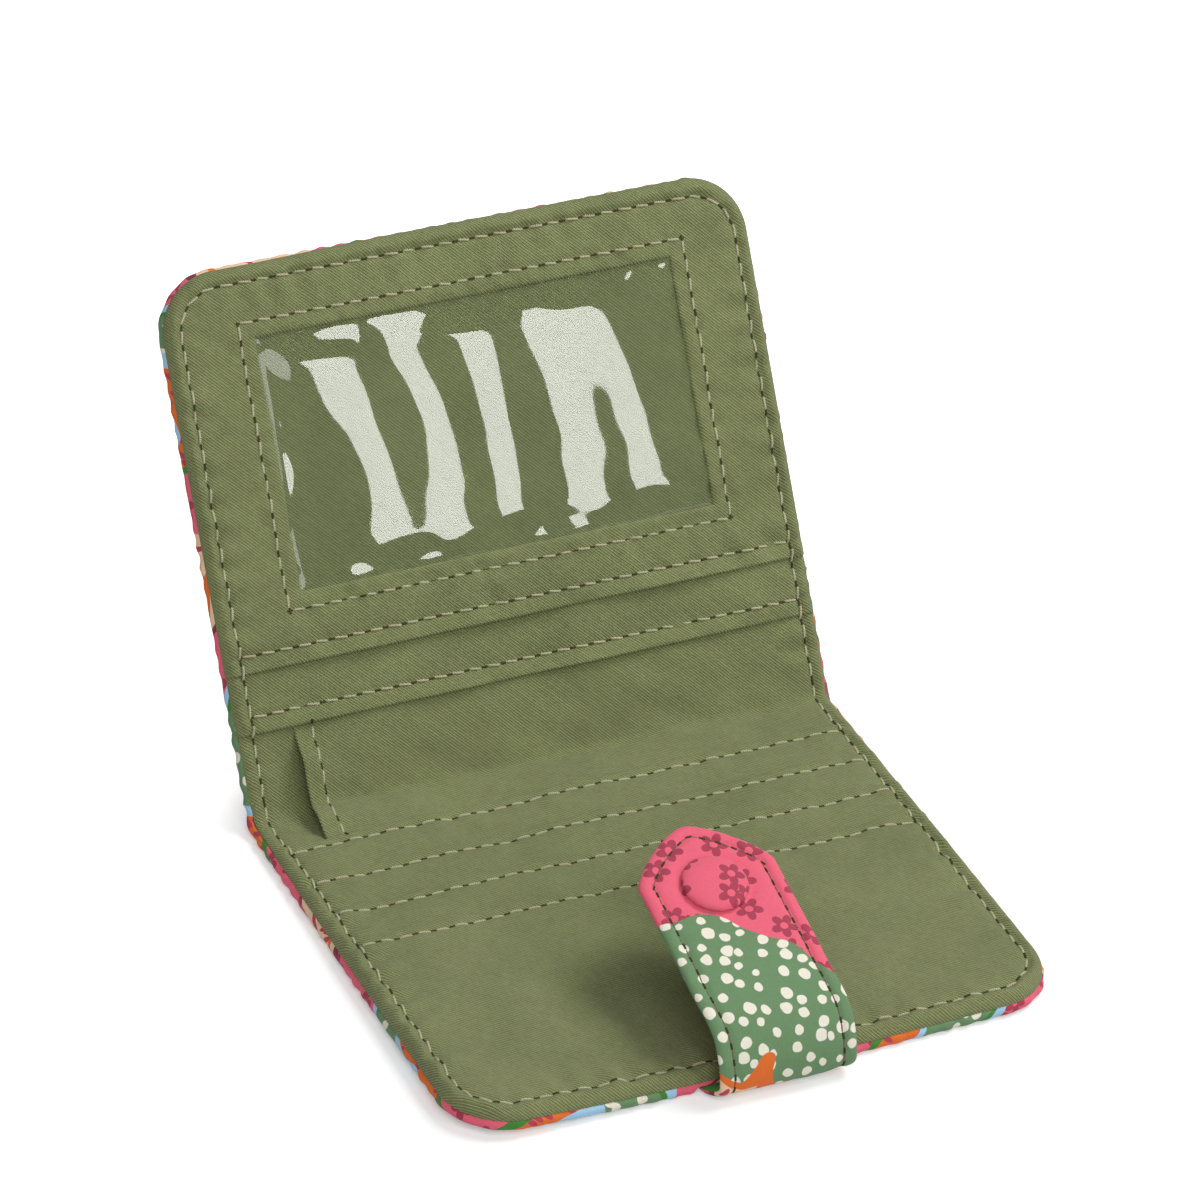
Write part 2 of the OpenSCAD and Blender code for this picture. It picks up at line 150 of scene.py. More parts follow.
camera_data = bpy.data.cameras.new("camera")
camera = bpy.data.objects.new("camera", camera_data)
bpy.context.scene.collection.objects.link(camera)
camera_data.sensor_width, camera_data.lens = CAMERA_SENSOR, CAMERA_LENS
camera_data.clip_start, camera_data.clip_end = CAMERA_NEAR, CAMERA_FAR
camera.location = Vector(CAMERA_PLACE) * MM
camera.rotation_mode = "QUATERNION"
aim = direction(CAMERA_AZIMUTH, -CAMERA_ELEVATION)
level_aim = aim.to_track_quat("-Z", "Y")
camera.rotation_quaternion = level_aim @ Quaternion((0, 0, 1), math.radians(CAMERA_ROLL))
bpy.context.scene.camera = camera
bpy.context.scene.view_settings.view_transform = "Standard"

bpy.ops.object.select_all(action="DESELECT")
bpy.ops.mesh.primitive_plane_add(size=TABLE_SIZE, location=(0, 0, -TABLE_DROP * MM))
table = bpy.context.object
table.name = "table"
table.data.materials.append(table_material())


# Studio light
# A soft lamp stands high on the right, a wider and weaker one in front on the left, and a pale
# room fills the rest. A narrow lamp in front on the right gives the clear window its streaks.
KEY_WAY, KEY_SIZE, KEY_POWER = direction(84, 57), 0.55, 9.9
FILL_WAY, FILL_SIZE, FILL_POWER = direction(-160, 48), 0.9, 6.5
LAMP_DISTANCE = 1.3
STREAK_WAY, STREAK_SIZE, STREAK_POWER = Vector((0.352, -0.812, 0.470)), (0.17, 0.30), 1.05
STREAK_DISTANCE = 1.0
WINDOW_MIDDLE = Vector((0.0, 0.0565, 0.0565))
ROOM_STRENGTH = 0.20


def add_lamp(name, way, size, power):
    """A square lamp that stands that way from the wallet and shines back at it."""
    lamp_data = bpy.data.lights.new(name, "AREA")
    lamp_data.size = size
    lamp_data.energy = power
    lamp = bpy.data.objects.new(name, lamp_data)
    bpy.context.scene.collection.objects.link(lamp)
    lamp.location = way * LAMP_DISTANCE
    lamp.rotation_mode = "QUATERNION"
    lamp.rotation_quaternion = (-way).to_track_quat("-Z", "Y")
    return lamp


add_lamp("key_lamp", KEY_WAY, KEY_SIZE, KEY_POWER)
add_lamp("fill_lamp", FILL_WAY, FILL_SIZE, FILL_POWER)
streak_lamp = add_lamp("streak_lamp", STREAK_WAY, STREAK_SIZE[0], STREAK_POWER)
streak_lamp.data.shape = "RECTANGLE"
streak_lamp.data.size_y = STREAK_SIZE[1]
streak_lamp.location = WINDOW_MIDDLE + STREAK_WAY * STREAK_DISTANCE

world = bpy.data.worlds.new("room")
bpy.context.scene.world = world
world.use_nodes = True
room = world.node_tree
room.nodes.clear()
room_path = add_node(room, "LightPath")
room_seen = add_node(room, "Mix", data_type="FLOAT", i0=room_path.outputs["Is Camera Ray"],
                     i2=ROOM_STRENGTH, i3=1.0)
room_light = add_node(room, "Background", Color=WHITE, Strength=room_seen.outputs[0])
room_out = room.nodes.new("ShaderNodeOutputWorld")
room.links.new(room_light.outputs[0], room_out.inputs["Surface"])


# The wallet's pattern
# Both halves share one pattern: a strip 120 wide with round far corners, folded at the crease.
# x runs along the crease and t away from it; h is the height over the outer face.
HALF_W, CORNER_R = 60.0, 12.0
LOWER_FAR, UPPER_FAR = 96.0, 102.0
SPINE_MID, SPINE_W = 3.5, 7.0
REST_ANGLE = math.radians(57)
FOLD_Y, FOLD_H, FOLD_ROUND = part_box("lower_lining")[1].y / MM, 3.1, 2.5
FRONT_BOW, LEFT_CURL, RIGHT_CURL = 0.9, 1.7, 0.15
STITCH_PITCH, SEAM_INSET = 3.7, 3.5


def smooth(v, low, high):
    u = np.clip((v - low) / (high - low), 0, 1)
    return u * u * (3 - 2 * u)


def hump(v, centre, width):
    return np.exp(-(((v - centre) / width) ** 2))


def beat(q):
    """The rhythm of the stitches along the edge seam, from -1 to 1."""
    return np.cos(2 * math.pi * q / STITCH_PITCH)


def ripple(x, t, wavelength, seed):
    """Nine random waves of about that length together, mostly within -1 to 1."""
    draw = np.random.default_rng(seed)
    total = np.zeros(np.broadcast(x, t).shape)
    for _ in range(9):
        angle, phase = draw.uniform(0, 2 * math.pi, 2)
        k = 2 * math.pi / (wavelength * draw.uniform(0.75, 1.35))
        total += np.sin(k * (math.cos(angle) * x + math.sin(angle) * t) + phase)
    return total / 3


def place(x, s, h):
    """The point of the folded wallet at x, at the run s from the crease, which is below zero on the
    lower half, and at the height h over the outer face."""
    tangent = FOLD_ROUND * math.tan(REST_ANGLE / 2)
    turn = REST_ANGLE * np.clip((s / tangent + 1) / 2, 0, 1)
    low, high = np.minimum(s + tangent, 0), np.maximum(s - tangent, 0)
    rise = h - FOLD_H
    y = -tangent + low + FOLD_ROUND * np.sin(turn) + high * math.cos(REST_ANGLE) - rise * np.sin(turn)
    z = FOLD_ROUND * (1 - np.cos(turn)) + high * math.sin(REST_ANGLE) + rise * np.cos(turn)
    front = np.clip(-s / LOWER_FAR, 0, 1.1) ** 2
    across = np.abs(x) / HALF_W
    y = y - FRONT_BOW * (1 - across**2) * front
    z = z + np.where(x < 0, LEFT_CURL, RIGHT_CURL) * across**2 * front
    return np.stack([x + 0 * s, y + FOLD_Y, z + FOLD_H], -1) * MM


def flat_place(x, s):
    """The same point on the flat cloth, for its UV map."""
    return np.stack([x, s], -1) * MM


def outline_run(x, t, far, side, end, angle):
    """How far along the edge seam the nearest point of the outline is, from left to right."""
    arc = (CORNER_R - SEAM_INSET) * math.pi / 2
    half_run = far - CORNER_R + arc + HALF_W - CORNER_R
    corner = (side > 0) & (end > 0)
    run = np.where(corner, far - CORNER_R + arc * angle * 2 / math.pi,
                   np.where(side >= end, t, half_run - np.abs(x)))
    return np.where(x < 0, run, 2 * half_run - run)


def border(x, t, far):
    """Turns square grid points into rings round the far corners. Gives x, t, the distance d inside
    the outline, the way out and the run q along the outline."""
    core_x, core_t = HALF_W - CORNER_R, far - CORNER_R
    side, end = np.abs(x) - core_x, t - core_t
    corner = (side > 0) & (end > 0)
    a, b = np.maximum(side, 1e-9), np.maximum(end, 1e-9)
    angle = np.where(a >= b, b / a, 2 - a / b) * math.pi / 4
    rho = np.maximum(side, end)
    way_x = np.where(corner, np.cos(angle), np.where(side >= end, 1.0, 0.0)) * np.sign(x)
    way_t = np.where(corner, np.sin(angle), np.where(side >= end, 0.0, 1.0))
    out_x = np.where(corner, (core_x + rho * np.cos(angle)) * np.sign(x), x)
    out_t = np.where(corner, core_t + rho * np.sin(angle), t)
    q = outline_run(out_x, out_t, far, side, end, angle)
    return out_x, out_t, CORNER_R - rho, way_x, way_t, q


def run_point(s):
    """The point of the fold's own height at that run."""
    return tuple(float(v) for v in place(np.array(0.0), np.array(float(s)), np.array(FOLD_H)))


# Points at the fold's own height at the two folds of the spine.
FOLD_FROM, FOLD_TO = run_point(-SPINE_MID), run_point(SPINE_MID)
TOP_FROM, TOP_TO = run_point(SPINE_MID), run_point(2 * SPINE_W - SPINE_MID)


def carry(piece, side, crossing=True):
    """Bakes a piece's place into its mesh where it crosses its half's fold, and otherwise rides it on the
    half.
    side is -1 for the lower half and 1 for the upper."""
    if not crossing:
        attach(piece, "lower" if side < 0 else "upper")
    elif side < 0:
        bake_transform(piece)
    else:
        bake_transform(piece)


# Wadding
# A soft sheet of wadding lies under each half's cover and ends inside the rolled edge. It is sewn
# in with the edge seam, and is thin over the seat of the tab's root.
WADDING_LOW, WADDING_HIGH, WADDING_INSET, WADDING_STEP = 0.62, 1.75, 1.05, 2.0
WADDING_GREY, WADDING_WHITE = (0.72, 0.71, 0.67, 1.0), (0.86, 0.85, 0.81, 1.0)
SEAT_HALF, SEAT_BACK, SEAT_RISE, SEAT_THIN = 14.3, 75.5, 1.32, 1.25
TAB_X = -0.5
EDGE_STEPS, FOLD_STEPS = (0.5, 0.5, 0.6, 0.8), (0.5,) * 14
CRISP_ANGLE = math.radians(45)


def lines(low, high, step, fine_low=(), fine_high=()):
    """Grid lines from low to high: the given small steps at either end, and even steps between."""
    start = low + np.concatenate([[0], np.cumsum(fine_low)])
    stop = high - np.concatenate([[0], np.cumsum(fine_high)])[::-1]
    count = max(2, int(round((stop[0] - start[-1]) / step)) + 1)
    every = np.concatenate([start, np.linspace(start[-1], stop[0], count), stop])
    return np.unique(np.round(every, 4))


def grid_sheet(name, xs, ts, shape, flip, keep=None):
    """A sheet with a vertex at each crossing of the lines. shape(x, t) gives its points, its flat
    cloth coordinates and its seam coordinates, the run q along the outline and the distance d."""
    bpy.ops.object.select_all(action="DESELECT")
    nx, nt = len(xs) - 1, len(ts) - 1
    bpy.ops.mesh.primitive_grid_add(x_subdivisions=nx, y_subdivisions=nt, size=1)
    piece = bpy.context.object
    mesh = piece.data
    piece.name = mesh.name = name
    raw = np.empty(len(mesh.vertices) * 3)
    mesh.vertices.foreach_get("co", raw)
    raw = raw.reshape(-1, 3) + 0.5
    x = xs[np.rint(raw[:, 0] * nx).astype(int)]
    t = ts[np.rint(raw[:, 1] * nt).astype(int)]
    points, cloth, seam = shape(x, t)
    mesh.vertices.foreach_set("co", points.astype(np.float32).ravel())
    loops = np.empty(len(mesh.loops), int)
    mesh.loops.foreach_get("vertex_index", loops)
    for layer in list(mesh.uv_layers):
        mesh.uv_layers.remove(layer)
    for uv_name, values in (("cloth", cloth), ("seam", seam)):
        layer = mesh.uv_layers.new(name=uv_name)
        layer.data.foreach_set("uv", values[loops].astype(np.float32).ravel())
    if keep is not None:
        corners = np.array([face.vertices[:] for face in mesh.polygons])
        gone = ~keep(x[corners].mean(1), t[corners].mean(1))
        bpy.ops.object.mode_set(mode="EDIT")
        bpy.ops.mesh.select_mode(type="FACE")
        bpy.ops.mesh.select_all(action="DESELECT")
        bpy.ops.object.mode_set(mode="OBJECT")
        mesh.polygons.foreach_set("select", gone)
        bpy.ops.object.mode_set(mode="EDIT")
        bpy.ops.mesh.delete(type="FACE")
        bpy.ops.object.mode_set(mode="OBJECT")
    if flip:
        mesh.flip_normals()
    mesh.update()
    return piece


def take_up(piece):
    """Selects that piece alone, for the operators that follow."""
    bpy.ops.object.select_all(action="DESELECT")
    piece.select_set(True)
    bpy.context.view_layer.objects.active = piece


def thicken(piece, thickness):
    """Gives a sheet its cloth thickness, and smooth shading with crisp cut edges."""
    take_up(piece)
    wall = piece.modifiers.new("cloth", "SOLIDIFY")
    wall.thickness = thickness * MM
    wall.offset = -1.0
    wall.use_even_offset = False
    bpy.ops.object.modifier_apply(modifier="cloth")
    bpy.ops.object.shade_smooth_by_angle(angle=CRISP_ANGLE)


def root_seat(x, t, soft=1.0):
    """1 over the seat of the tab's root in the underside of the lower half, and 0 elsewhere."""
    across = 1 - smooth(np.abs(x - TAB_X), SEAT_HALF - 0.6 * soft, SEAT_HALF + soft)
    return across * smooth(t, SEAT_BACK - soft, SEAT_BACK + soft)


def mix_colour(tree, share, a, b):
    return add_node(tree, "Mix", data_type="RGBA", i0=share, i6=a, i7=b).outputs[2]


def noise_node(tree, where, scale, detail=2.0, roughness=0.5, dimensions="2D"):
    return add_node(tree, "TexNoise", noise_dimensions=dimensions, Vector=where, Scale=scale,
                    Detail=detail, Roughness=roughness)


def finish_cloth(tree, colour, grain, roughness, bump, depth, gloss=0.5, sheen=0.0, sheen_spread=0.5):
    """Gives a cloth its colour and the relief of its grain, depth metres deep at a bump of 1."""
    uneven = add_node(tree, "Bump", Strength=bump, Distance=depth, Height=grain)
    cloth = add_node(tree, "BsdfPrincipled", Roughness=roughness, Normal=uneven.outputs[0],
                     **{"Base Color": colour, "Specular IOR Level": gloss, "Sheen Weight": sheen,
                        "Sheen Roughness": sheen_spread})
    finish_material(tree, cloth.outputs[0])


def wadding_material():
    material, tree = new_material("wadding")
    grain = noise_node(tree, object_place(tree), 900.0, 3.0, dimensions="3D").outputs[0]
    colour = mix_colour(tree, grain, WADDING_GREY, WADDING_WHITE)
    finish_cloth(tree, colour, grain, 0.95, 0.5, 0.0002)
    return material


wadding_white = wadding_material()
for half, far, side, nodes in (("lower", LOWER_FAR, -1, ("lower_padding", "fold_padding")),
                               ("upper", UPPER_FAR, 1, ("spine_padding", "upper_padding"))):
    def shape_wadding(x, t):
        rx, rt, d, way_x, way_t, q = border(x, t, far)
        h = WADDING_HIGH - 0.4 * (1 - smooth(d, 1.1, 3.0)) - 0.2 * hump(d, SEAM_INSET, 1.2)
        if side < 0:
            h = h + 0.1 * root_seat(rx, rt)
        return place(rx, side * rt, h), flat_place(rx, side * rt), flat_place(q, d)

    xs = lines(-HALF_W + WADDING_INSET, HALF_W - WADDING_INSET, WADDING_STEP, EDGE_STEPS, EDGE_STEPS)
    ts = lines(side * SPINE_MID, far - WADDING_INSET, WADDING_STEP, FOLD_STEPS, EDGE_STEPS)
    wadding = grid_sheet(half + "_wadding", xs, ts, shape_wadding, side < 0)
    thicken(wadding, WADDING_HIGH - WADDING_LOW)
    if side < 0:
        for point in wadding.data.vertices:
            x, t = point.co.x / MM, FOLD_Y - point.co.y / MM
            over = WADDING_LOW + SEAT_THIN * float(root_seat(np.array(x), np.array(t), 1.6))
            if t > 40:
                point.co.z = max(point.co.z, over * MM)
    wadding.data.materials.append(wadding_white)
    carry(wadding, side)
    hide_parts(*nodes)


# Printed cover
# One piece of printed cotton, cut larger than the wallet, padded and rolled round the edge, where
# it is sewn in under the linings. Its underside has a seat for the root of the tab.
ROLL_R, ROLL_TURN, COVER_T, COVER_GRAB, COVER_STEP = 1.2, 2.9, 0.45, 2.1, 0.75
GATHER_BEAT, GATHER_RANDOM = 0.07, 0.11
COVER_GROOVE, COVER_PUCKER, COVER_CROWN = 0.30, 0.07, 0.32
COVER_STEPS = (0.3,) * 12 + (0.35, 0.45, 0.55, 0.65, 0.75)
CREAM = (0.84, 0.80, 0.67, 1.0)
PEACH = (0.88, 0.60, 0.39, 1.0)
PINK = (0.82, 0.125, 0.195, 1.0)
ROSE = (0.50, 0.050, 0.095, 1.0)
MAROON = (0.235, 0.032, 0.055, 1.0)
BERRY = (0.40, 0.045, 0.085, 1.0)
ORANGE = (0.78, 0.16, 0.020, 1.0)
LEAF_GREEN = (0.055, 0.24, 0.035, 1.0)
SKY = (0.37, 0.62, 0.83, 1.0)
SAGE = (0.142, 0.262, 0.124, 1.0)
# Each stop of a print is where it starts, its colour, and its marks: dots, flowers or flecks.
PLAIN, DOTS, FLOWERS, FLECKS = (0, 0, 0, 1), (1, 0, 0, 1), (0, 1, 0, 1), (0, 0, 1, 1)
COVER_STOPS = (
    (0.00, PEACH, FLECKS), (0.10, ROSE, PLAIN), (0.125, PEACH, PLAIN), (0.17, PINK, FLOWERS),
    (0.33, LEAF_GREEN, PLAIN), (0.365, ORANGE, FLECKS), (0.47, SKY, PLAIN), (0.50, SAGE, DOTS),
    (0.70, LEAF_GREEN, PLAIN), (0.725, SKY, PLAIN), (0.76, PINK, FLOWERS), (0.90, MAROON, PLAIN),
    (0.93, PEACH, PLAIN), (0.97, ORANGE, PLAIN),
)
# Sizes of the marks: how far apart they are, and how large in shares of that.
DOT_CELL, DOT_SPREAD, DOT_LEAST, DOT_MORE = 3.5, 0.62, 0.20, 0.13
FLOWER_CELL, FLOWER_SPREAD, FLOWER_PETALS, FLOWER_REACH = 7.4, 0.75, 5.0, 0.34
FLECK_CELL, FLECK_SPREAD, FLECK_SIZE = 2.3, 0.9, 0.24
PRINT_THREAD = 0.32


def edge_groove(d, q):
    """The groove that the edge seam pulls into the printed cover, deeper at each stitch."""
    return COVER_GROOVE * hump(d, SEAM_INSET, 0.8) * (1 + 0.3 * beat(q))


def shape_cover(x, t, far, side):
    """The cover of one half. side is -1 for the lower half, where the run s is below zero."""
    rx, rt, d, way_x, way_t, q = border(x, t, far)
    e = ROLL_R - d
    gathers = 1 + GATHER_BEAT * beat(q) + GATHER_RANDOM * ripple(q, 0.3 * d, 3.4, 3)
    turn = np.clip(e / ROLL_R, 0, ROLL_TURN)
    out = np.where(e > 0, ROLL_R * gathers * np.sin(turn) - e, 0)
    h = np.where(e > 0, ROLL_R * (1 - np.cos(turn)), 0)
    within = np.clip(-e, 0, None)
    pucker = COVER_PUCKER * ripple(q, 0 * q, 3.2, 5) * hump(d, SEAM_INSET, 2.6)
    crown = COVER_CROWN * smooth(within, 2, 14) * (1 + 0.35 * ripple(rx, rt, 30, 8)) if side > 0 else 0
    lift = edge_groove(d, q) + pucker * (side > 0) - crown
    lift = lift * smooth(within, 0.4, 1.6) * smooth(np.abs(rt), 2, 9)
    h = h + (np.maximum(lift, 0) if side < 0 else lift)
    if side < 0:
        h = h + SEAT_RISE * root_seat(rx, rt) * (1 - h / (2 * ROLL_R))
    points = place(rx + way_x * out, side * (rt + way_t * out), h)
    return points, flat_place(rx, side * rt), flat_place(q, d)


def flat_area(xs, ts, corners=2, gone=0.0):
    """The area in square metres of a strip with that many round corners and an opening."""
    cut = corners * (1 - math.pi / 4) * CORNER_R**2 + gone
    return ((xs[-1] - xs[0]) * (ts[-1] - ts[0]) - cut) * MM * MM


def cloth_mm(tree):
    """The cloth's own flat coordinates, in millimetres."""
    uv = add_node(tree, "UVMap", uv_map="cloth")
    return add_node(tree, "Mapping", Vector=uv.outputs[0], Scale=(1000, 1000, 1000)).outputs[0]


def sides_of(tree, where):
    return add_node(tree, "SeparateXYZ", Vector=where).outputs


def below(tree, value, limit, soft):
    """1 where value is under limit and 0 over it, with a soft step."""
    return step_node(tree, value, limit - soft, limit + soft, 1.0, 0.0)


def cell_spot(tree, where, size, spread):
    """Many scattered points, with the way from the nearest of them in cells of that size."""
    cells = add_node(tree, "TexVoronoi", voronoi_dimensions="2D", feature="F1", Vector=where,
                     Scale=1.0 / size, Randomness=spread)
    scaled = vector_node(tree, "SCALE", where, Scale=1.0 / size)
    spot = vector_node(tree, "SCALE", cells.outputs["Position"], Scale=1.0 / size)
    return cells, vector_node(tree, "SUBTRACT", scaled, spot)


def blossom(tree, where):
    """1 on small round-petalled flowers scattered over the cloth, and 1 on their eyes."""
    cells, way = cell_spot(tree, where, FLOWER_CELL, FLOWER_SPREAD)
    distance, parts = cells.outputs["Distance"], sides_of(tree, way)
    angle = math_node(tree, "ARCTAN2", parts[1], parts[0])
    wave = math_node(tree, "COSINE", math_node(tree, "MULTIPLY", angle, FLOWER_PETALS / 2))
    edge = math_node(tree, "MULTIPLY_ADD", math_node(tree, "ABSOLUTE", wave),
                     FLOWER_REACH * 0.55, FLOWER_REACH * 0.5)
    flower = below(tree, math_node(tree, "SUBTRACT", distance, edge), 0.0, 0.012)
    return flower, below(tree, distance, FLOWER_REACH * 0.30, 0.012)


def thread_grain(tree, where, pitch):
    """Fine uneven threads both ways, about -1 to 1."""
    grains = []
    for stretch in ((1.0 / pitch, 0.16 / pitch, 1.0), (0.16 / pitch, 1.0 / pitch, 1.0)):
        along = add_node(tree, "Mapping", Vector=where, Scale=stretch).outputs[0]
        grains.append(noise_node(tree, along, 1.0, roughness=0.6).outputs[0])
    return math_node(tree, "MULTIPLY_ADD", math_node(tree, "ADD", *grains), 2.2, -2.2)


def print_material(name, angle, shift, stops, period, wave):
    """Printed cotton: wavy bands of colour along one direction, with cream dots on the sage band,
    five-petal flowers on the pink ones and flecks on the warm ones."""
    material, tree = new_material(name)
    where = cloth_mm(tree)
    turned = add_node(tree, "Mapping", Vector=where, Location=(*shift, 0),
                      Rotation=(0, 0, math.radians(angle))).outputs[0]
    swell = noise_node(tree, turned, 1.0 / wave, 1.0).outputs[0]
    bent = math_node(tree, "MULTIPLY_ADD", swell, 1.1 * wave, sides_of(tree, turned)[1])
    band = math_node(tree, "FRACT", math_node(tree, "DIVIDE", bent, period))
    bands, marks = (add_node(tree, "ValToRGB", Fac=band) for _ in range(2))
    for ramp, pick in ((bands.color_ramp, 1), (marks.color_ramp, 2)):
        ramp.interpolation = "CONSTANT"
        for k, stop in enumerate(stops):
            element = ramp.elements[k] if k < 2 else ramp.elements.new(stop[0])
            element.position, element.color = stop[0], stop[pick]
    dotted, flowered, flecked = add_node(tree, "SeparateColor", Color=marks.outputs[0]).outputs
    wobble = noise_node(tree, turned, 0.42, 1.0).outputs["Color"]
    dots, _ = cell_spot(tree, vector_node(tree, "MULTIPLY_ADD", wobble, (0.7, 0.7, 0.0), turned),
                        DOT_CELL, DOT_SPREAD)
    chance = add_node(tree, "SeparateColor", Color=dots.outputs["Color"]).outputs[0]
    dot_edge = math_node(tree, "SUBTRACT", dots.outputs["Distance"],
                         math_node(tree, "MULTIPLY_ADD", chance, DOT_MORE, DOT_LEAST))
    dot_share = math_node(tree, "MULTIPLY", below(tree, dot_edge, 0.0, 0.02), dotted)
    flowers, eyes = blossom(tree, turned)
    flower_share = math_node(tree, "MULTIPLY", flowers, flowered)
    slanted = add_node(tree, "Mapping", Vector=turned, Rotation=(0, 0, 0.6), Scale=(1.0, 0.42, 1.0))
    flecks, _ = cell_spot(tree, slanted.outputs[0], FLECK_CELL, FLECK_SPREAD)
    fleck_share = math_node(tree, "MULTIPLY", below(tree, flecks.outputs["Distance"], FLECK_SIZE, 0.03),
                            flecked)
    eye_share = math_node(tree, "MULTIPLY", math_node(tree, "MULTIPLY", eyes, flowers), flowered)
    colour = bands.outputs[0]
    for share, ink in ((dot_share, CREAM), (fleck_share, ROSE), (flower_share, BERRY), (eye_share, PINK)):
        colour = mix_colour(tree, share, colour, ink)
    grain = thread_grain(tree, where, PRINT_THREAD)
    tinted = vector_node(tree, "SCALE", colour, Scale=math_node(tree, "MULTIPLY_ADD", grain, 0.05, 1.0))
    finish_cloth(tree, tinted, grain, 0.72, 0.35, 0.00006, 0.28, 0.12)
    return material


cover_print = print_material("printed_cotton", 48, (13, 7), COVER_STOPS, 52, 17)
cover_xs = lines(-HALF_W - COVER_GRAB, HALF_W + COVER_GRAB, COVER_STEP, COVER_STEPS, COVER_STEPS)
for half, far, side, nodes in (("lower", LOWER_FAR, -1, ("lower_cover", "fold_cover")),
                               ("upper", UPPER_FAR, 1, ("spine_cover", "upper_cover"))):
    ts = lines(side * SPINE_MID, far + COVER_GRAB, COVER_STEP, FOLD_STEPS, COVER_STEPS)
    cover = grid_sheet(half + "_printed_cover", cover_xs, ts,
                       lambda x, t: shape_cover(x, t, far, side), side > 0)
    thicken(cover, COVER_T)
    cover.data.materials.append(cover_print)
    carry(cover, side)
    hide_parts(*nodes)


# Linings and bill wall
# Each half is lined with one piece of olive twill, and a second piece lies on it as the wall of the
# bill pocket, with a hem down its free edge. Both are rolled over at the edge and sewn through.
LINING_TOP, WALL_TOP, LAYER_T = 2.7, 3.1, 0.26
LAYER_EDGE, LAYER_NEST = 0.45, 0.08
EDGE_Z, EDGE_ROUND, TOP_REACH = 2.25, 2.1, 0.55
HEM_X, HEM_W = -48.5, 3.6
FIRST_SLOT, SLIP_EDGE = 9.0, 16.2
LAYER_STEP, LINING_STEP = 0.95, 1.6
LAYER_STEPS = (0.3, 0.34, 0.38, 0.42, 0.45, 0.45, 0.45, 0.4, 0.34, 0.3, 0.3, 0.34, 0.42, 0.5, 0.6, 0.7, 0.8)
MOUTH_STEPS = (0.08, 0.12, 0.2, 0.3, 0.4, 0.45, 0.45, 0.45, 0.45, 0.5, 0.6, 0.7)
BEND_STEPS = (0.42,) * 17
OLIVE = (0.335, 0.368, 0.160, 1.0)
OLIVE_DARK = (0.088, 0.104, 0.036, 1.0)
TWILL_PITCH, RIB_PITCH, RIB_WEIGHT, GRAIN_WEIGHT, WEAVE_SHARE = 0.40, 0.68, 0.80, 0.40, 0.40
# Heights of the seam's valley, the rolled edge, the puckers at the seam and the waves of the cloth.
VALLEY, EDGE_ROLL, PUCKER, BROAD_WAVE, FINE_WAVE = 0.46, 0.36, 0.34, 0.34, 0.075


def relief(x, s, d, q):
    """The hills and valleys that the seams and the wadding give to all inner layers alike."""
    away = smooth(np.abs(s), 3.6, 10)
    stitches = beat(q) * away
    valley = -VALLEY * hump(d, SEAM_INSET, 0.75) * (0.85 + 0.15 * stitches)
    roll = EDGE_ROLL * hump(d, 1.9, 0.95)
    roll = roll * (1 + 0.25 * stitches + 0.50 * away * ripple(q, 0.2 * d, 4.2, 11))
    pucker = PUCKER * ripple(q, 0.25 * d, 4.4, 12) * smooth(d, 1.0, 3.2) * (1 - smooth(d, 4.6, 11)) * away
    broad = BROAD_WAVE * np.tanh(ripple(x, s, 24, 13)) * smooth(d, 4.5, 14)
    fine = FINE_WAVE * ripple(x, s, 8.5, 14) * smooth(d, 3.6, 8)
    return valley + roll + pucker + broad + fine


def shape_layer(far, side, level, above, own):
    """An inner layer of one half, with its outer face at the height level and that many over it."""
    edge = LAYER_EDGE + LAYER_NEST * above
    rise = level - EDGE_Z
    length = math.pi / 2 * math.sqrt((EDGE_ROUND**2 + rise**2) / 2)

    def shape(x, t):
        rx, rt, d, way_x, way_t, q = border(x, t, far)
        rim = edge - (TOP_REACH * np.clip(way_t, 0, 1) * smooth(rx, -42, -8) if side > 0 else 0)
        e = rim + EDGE_ROUND - d
        turn = np.clip(e / length, 0, 1) * math.pi / 2
        real = np.where(e > 0, rim + EDGE_ROUND * (1 - np.sin(turn)), d)
        h = np.where(e > 0, EDGE_Z + rise * np.cos(turn), level)
        px, s = rx + way_x * (d - real), side * (rt + way_t * (d - real))
        h = h + (relief(px, s, real, q) + own(px, s)) * np.cos(turn)
        return place(px, s, h), flat_place(rx, side * rt), flat_place(q, real)

    return shape, length - EDGE_ROUND - edge


def lining_sag(x, s):
    """The lining sinks under the free edge of the bill wall."""
    return -0.7 * hump(x, HEM_X - 0.5, 6) * smooth(s, -9, -3) * (1 - smooth(s, 9, 15))


def wall_stand(x, s):
    """The free edge of the bill wall stands off the lining where the wallet folds."""
    loose = smooth(s, -8.4, -3.5) * (1 - smooth(s, 9.0, 15.4))
    hem = 0.22 * (1 - smooth(x, HEM_X + HEM_W - 0.5, HEM_X + HEM_W + 0.1))
    rolled = -0.3 * (1 - np.clip((x - HEM_X) / 0.35, 0, 1)) ** 2
    stitched = -0.16 * hump(x, HEM_X + HEM_W, 0.4)
    lift = 2.1 * np.exp(-np.clip(x - HEM_X, 0, None) / 9) + 0.15 * ripple(x, s, 9, 21)
    return lift * loose + (hem + stitched) * (0.35 + 0.65 * loose) + rolled


